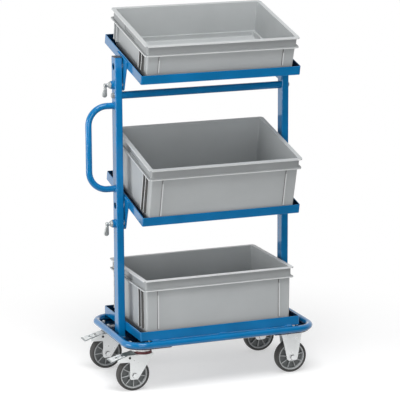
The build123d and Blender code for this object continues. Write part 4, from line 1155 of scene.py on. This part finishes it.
def weld_bead(bm, points, sizes, closed):
    """Rippled bead along a path of points, thin at its ends."""
    ripple_share = 0.13
    end_share = 0.45
    loops = []
    count = len(points)
    for step, point in enumerate(points):
        before = points[step - 1] if step or closed else point
        after = points[(step + 1) % count] if step < count - 1 or closed else point
        heading = (after - before).normalized()
        wave = 1.0 + ripple_share * math.cos(math.pi * step)
        if not closed and step in (0, count - 1):
            wave = end_share
        turn = heading.to_track_quat("Z", "Y").to_matrix().to_4x4()
        made = bmesh.ops.create_circle(bm, cap_ends=False, radius=sizes.weld * wave, segments=8,
                                       matrix=Matrix.Translation(point) @ turn)
        loops.append(edges_at(made["verts"]))
    for first, second in zip(loops, loops[1:]):
        bmesh.ops.bridge_loops(bm, edges=first + second)
    if closed:
        bmesh.ops.bridge_loops(bm, edges=loops[-1] + loops[0])
    else:
        bmesh.ops.edgeloop_fill(bm, edges=loops[0])
        bmesh.ops.edgeloop_fill(bm, edges=loops[-1])


def line_bead(bm, start, end, sizes):
    """Straight bead with two points for each ripple."""
    start = Vector(start)
    end = Vector(end)
    count = max(4, 2 * round((end - start).length / sizes.ripple))
    weld_bead(bm, [start.lerp(end, step / count) for step in range(count + 1)], sizes, False)


def ring_bead(bm, centre, radius, sizes):
    """Bead right round a tube or boss that stands on the left post's side."""
    arm = ALONG.orthogonal().normalized() * radius
    count = 2 * round(TURN * radius / sizes.ripple)
    points = [Vector(centre) + Matrix.Rotation(TURN * step / count, 3, ALONG) @ arm for step in range(count)]
    weld_bead(bm, points, sizes, True)


class TROLLEY_OT_welds(bpy.types.Operator):
    """Lay the weld beads of the chassis and the trays"""

    bl_idname = "trolley.welds"
    bl_label = "Welds"

    def execute(self, context):
        sizes = context.scene.trolley_frame
        bracket_half = 0.052
        bracket_top = 0.0262
        gap = 0.0012
        self.chassis_welds(sizes)
        for name in ("upper", "middle"):
            place, half, depth, tall = tray_matrix(name + "_tray_frame", context.scene.trolley_bins.tilt)
            bm = bmesh.new()
            self.tray_welds(bm, sizes, half, depth, tall)
            for end in (-1, 1):
                x = end * (half + gap)
                line_bead(bm, (x, -bracket_half, bracket_top), (x, bracket_half, bracket_top), sizes)
            bmesh.ops.transform(bm, matrix=place, verts=bm.verts)
            tidy(bm)
            publish(name + "_tray_welds", bm, ["blue_paint"], body=name + "_tray")
        return {"FINISHED"}

    def tray_welds(self, bm, sizes, half, depth, tall):
        """Beads in a tray's inner corners, in the tray's own frame."""
        wall = 0.003
        inset = wall + 0.0008
        for end in (-1, 1):
            for side in (-1, 1):
                x = end * (half - inset)
                y = side * (depth / 2 - inset)
                line_bead(bm, (x, y, wall), (x, y, tall - wall), sizes)

    def chassis_welds(self, sizes):
        """Beads at the handle, the clamp bosses, the posts' feet and the lower tray."""
        bm = bmesh.new()
        face = LEFT_POST[0].x
        radius = sizes.handle / 2
        handle_gap = 0.0008
        boss_gap = 0.0004
        for z in (HANDLE[0].z + radius, HANDLE[1].z - radius):
            ring_bead(bm, (face, POST_Y, z), radius + handle_gap, sizes)
        low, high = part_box("clamp_bosses")
        boss = (high.y - low.y) / 2
        for z in (low.z + boss, high.z - boss):
            ring_bead(bm, (face, POST_Y, z), boss + boss_gap, sizes)
        for low, high in (LEFT_POST, RIGHT_POST):
            corners = [(low.x, low.y), (high.x, low.y), (high.x, high.y), (low.x, high.y)]
            for first, second in zip(corners, corners[1:] + corners[:1]):
                line_bead(bm, (*first, low.z), (*second, low.z), sizes)
        left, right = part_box("tray_cross_bars")
        bar_width = 0.03
        bar_bead = 0.014
        tray_gap = 0.0022
        low_bead = LOWER_TRAY[0].z - 0.0024
        high_bead = LOWER_TRAY[0].z + 0.0005
        spacing = (right.x - left.x - bar_width) / 2
        for y in (LOWER_TRAY[0].y - tray_gap, LOWER_TRAY[1].y + tray_gap):
            line_bead(bm, (left.x, y, low_bead), (right.x, y, low_bead), sizes)
            for step in (-1, 0, 1):
                x = (left.x + right.x) / 2 + step * spacing
                line_bead(bm, (x - bar_bead, y, high_bead), (x + bar_bead, y, high_bead), sizes)
        tray = bmesh.new()
        span = LOWER_TRAY[1] - LOWER_TRAY[0]
        self.tray_welds(tray, sizes, span.x / 2, span.y, span.z)
        place = Matrix.Translation((MIDDLE_X, MIDDLE_Y, LOWER_TRAY[0].z))
        bmesh.ops.transform(tray, matrix=place, verts=tray.verts)
        for name, beads in (("lower_tray_welds", tray), ("chassis_welds", bm)):
            tidy(beads)
            publish(name, beads, ["blue_paint"], body="chassis")


# Stage

# Each light: its place from the point it lights, and its size
LIGHTS = {
    "key": ((-0.5, -1.7, 3.2), 2.0),
    "front": ((-1.4, -4.2, 0.6), 2.4),
    "side": ((-4.0, -0.3, 0.2), 2.0),
}
# How far out the floor's shadow begins and ends to fade to white
FADE = (0.75, 1.5)
# Where the dim room in front ends and the backdrop begins, and the room's brightness
ROOM_ON_FLOOR = (-1.0, -0.55, 0.08)
ROOM_AROUND = (-0.55, 0.15, 0.06)


def mixed(tree, share, first, second):
    """Mix of two shaders."""
    node = add_node(tree, "MixShader")
    for source, socket in zip((share, first, second), node.inputs):
        tree.links.new(source, socket)
    return node.outputs["Shader"]


def ray_mix(tree, ray, other, shader):
    """Shader for one kind of ray, and another for all other rays."""
    return mixed(tree, add_node(tree, "LightPath").outputs[ray], other, shader)


def ramp_value(tree, source, start, end, low, high):
    """Smooth step of a value."""
    node = add_node(tree, "MapRange", from_min=start, from_max=end, to_min=low, to_max=high)
    node.interpolation_type = "SMOOTHSTEP"
    tree.links.new(source, node.inputs["Value"])
    return node.outputs["Result"]


def depth_ramp(tree, place, start, end, low):
    """Value that rises to one from the room in front to the backdrop."""
    split = add_node(tree, "SeparateXYZ")
    tree.links.new(place, split.inputs["Vector"])
    return ramp_value(tree, split.outputs["Y"], start, end, low, 1.0)


def floor_finish(settings):
    """White paper: seen with its shadow, dim in gloss where the room is in front, and with little bounce."""
    material = bpy.data.materials.new("studio_floor")
    material.use_nodes = True
    tree = material.node_tree
    tree.nodes.clear()
    link = tree.links.new
    place = add_node(tree, "TexCoord").outputs["Object"]
    paper = add_node(tree, "BsdfDiffuse", color=(*settings.paper, 1.0))
    lift = add_node(tree, "Emission", strength=settings.lift)
    near = add_node(tree, "AddShader")
    link(paper.outputs["BSDF"], near.inputs[0])
    link(lift.outputs["Emission"], near.inputs[1])
    white = add_node(tree, "Emission")
    away = add_node(tree, "VectorMath")
    away.operation = "LENGTH"
    link(place, away.inputs[0])
    far = ramp_value(tree, away.outputs["Value"], *FADE, 0.0, 1.0)
    seen = mixed(tree, far, near.outputs["Shader"], white.outputs["Emission"])
    mirrored = add_node(tree, "Emission")
    link(depth_ramp(tree, place, *ROOM_ON_FLOOR), mirrored.inputs["Strength"])
    bounce = add_node(tree, "BsdfDiffuse", color=(*settings.bounce, 1.0))
    shader = ray_mix(tree, "Is Glossy Ray", bounce.outputs["BSDF"], mirrored.outputs["Emission"])
    shader = ray_mix(tree, "Is Camera Ray", shader, seen)
    link(shader, add_node(tree, "OutputMaterial").inputs["Surface"])
    return material


def studio_world(settings):
    """Soft light from all around; the backdrop is white, and the room in front of it is dim."""
    world = bpy.data.worlds.new("studio")
    bpy.context.scene.world = world
    world.use_nodes = True
    tree = world.node_tree
    tree.nodes.clear()
    place = add_node(tree, "TexCoord").outputs["Generated"]
    soft = add_node(tree, "Background", color=WHITE, strength=settings.ambient)
    mirrored = add_node(tree, "Background", color=WHITE)
    white = add_node(tree, "Background", color=WHITE)
    tree.links.new(depth_ramp(tree, place, *ROOM_AROUND), mirrored.inputs["Strength"])
    shader = ray_mix(tree, "Is Glossy Ray", soft.outputs["Background"], mirrored.outputs["Background"])
    shader = ray_mix(tree, "Is Camera Ray", shader, white.outputs["Background"])
    tree.links.new(shader, add_node(tree, "OutputWorld").inputs["Surface"])


def area_light(name, offset, target, size, power):
    """Square soft light that points at a target."""
    data = bpy.data.lights.new(name, "AREA")
    data.energy = power
    data.size = size
    light = bpy.data.objects.new(name, data)
    light.location = target + offset
    light.rotation_euler = (-offset).to_track_quat("-Z", "Y").to_euler()
    bpy.context.scene.collection.objects.link(light)


class TROLLEY_OT_stage(bpy.types.Operator):
    """Lay the floor and set the lights and the camera"""

    bl_idname = "trolley.stage"
    bl_label = "Stage"

    def execute(self, context):
        scene = context.scene
        settings = scene.trolley_stage
        bm = bmesh.new()
        bmesh.ops.create_circle(bm, cap_ends=True, radius=settings.floor, segments=96)
        bmesh.ops.recalc_face_normals(bm, faces=bm.faces)
        mesh = bpy.data.meshes.new("studio_floor")
        bm.to_mesh(mesh)
        bm.free()
        mesh.materials.append(floor_finish(settings))
        floor = bpy.data.objects.new("studio_floor", mesh)
        scene.collection.objects.link(floor)
        studio_world(settings)
        target = Vector((MIDDLE_X, MIDDLE_Y, settings.light_height))
        for name, (offset, size) in LIGHTS.items():
            area_light(name, Vector(offset), target, size, getattr(settings, name))
        flat = math.cos(settings.elevation)
        back = Vector((math.sin(settings.azimuth) * flat, -math.cos(settings.azimuth) * flat,
                       math.sin(settings.elevation)))
        aim = Vector((MIDDLE_X - settings.target_left, MIDDLE_Y, settings.target_height))
        data = bpy.data.cameras.new("camera")
        data.lens = settings.lens
        data.sensor_width = 36.0
        camera = bpy.data.objects.new("camera", data)
        camera.location = aim + back * settings.distance
        turn = back.to_track_quat("Z", "Y") @ Quaternion(UP, settings.roll)
        camera.rotation_euler = turn.to_euler()
        scene.collection.objects.link(camera)
        scene.camera = camera
        scene.view_settings.view_transform = "Standard"
        return {"FINISHED"}


OPERATORS = (
    TROLLEY_OT_bins,
    TROLLEY_OT_trays,
    TROLLEY_OT_base,
    TROLLEY_OT_posts,
    TROLLEY_OT_handle,
    TROLLEY_OT_clamps,
    TROLLEY_OT_fasteners,
    TROLLEY_OT_swivel_casters,
    TROLLEY_OT_brakes,
    TROLLEY_OT_fixed_casters,
    TROLLEY_OT_wheels,
    TROLLEY_OT_welds,
    TROLLEY_OT_stage,
)
SETTINGS = {
    "trolley_bins": BinSizes,
    "trolley_frame": FrameSizes,
    "trolley_casters": CasterSizes,
    "trolley_colours": FinishColours,
    "trolley_stage": StageSettings,
}


class TROLLEY_PT_pieces(bpy.types.Panel):
    """Lists the operators that build the trolley."""

    bl_label = "Bin trolley"
    bl_space_type = "VIEW_3D"
    bl_region_type = "UI"
    bl_category = "Trolley"

    def draw(self, context):
        for operator in OPERATORS:
            self.layout.operator(operator.bl_idname)


CLASSES = tuple(SETTINGS.values()) + OPERATORS + (TROLLEY_PT_pieces,)


def register():
    """Register the classes and their settings."""
    for item in CLASSES:
        bpy.utils.register_class(item)
    for name, group in SETTINGS.items():
        setattr(bpy.types.Scene, name, PointerProperty(type=group))


def unregister():
    """Remove the settings and the classes."""
    for name in SETTINGS:
        delattr(bpy.types.Scene, name)
    for item in reversed(CLASSES):
        bpy.utils.unregister_class(item)


def main():
    """Build the trolley and its stage."""
    register()
    bpy.ops.trolley.bins()
    bpy.ops.trolley.trays()
    bpy.ops.trolley.base()
    bpy.ops.trolley.posts()
    bpy.ops.trolley.handle()
    bpy.ops.trolley.clamps()
    bpy.ops.trolley.fasteners()
    bpy.ops.trolley.swivel_casters()
    bpy.ops.trolley.brakes()
    bpy.ops.trolley.fixed_casters()
    bpy.ops.trolley.wheels()
    bpy.ops.trolley.welds()
    bpy.ops.trolley.stage()


if __name__ == "__main__":
    main()
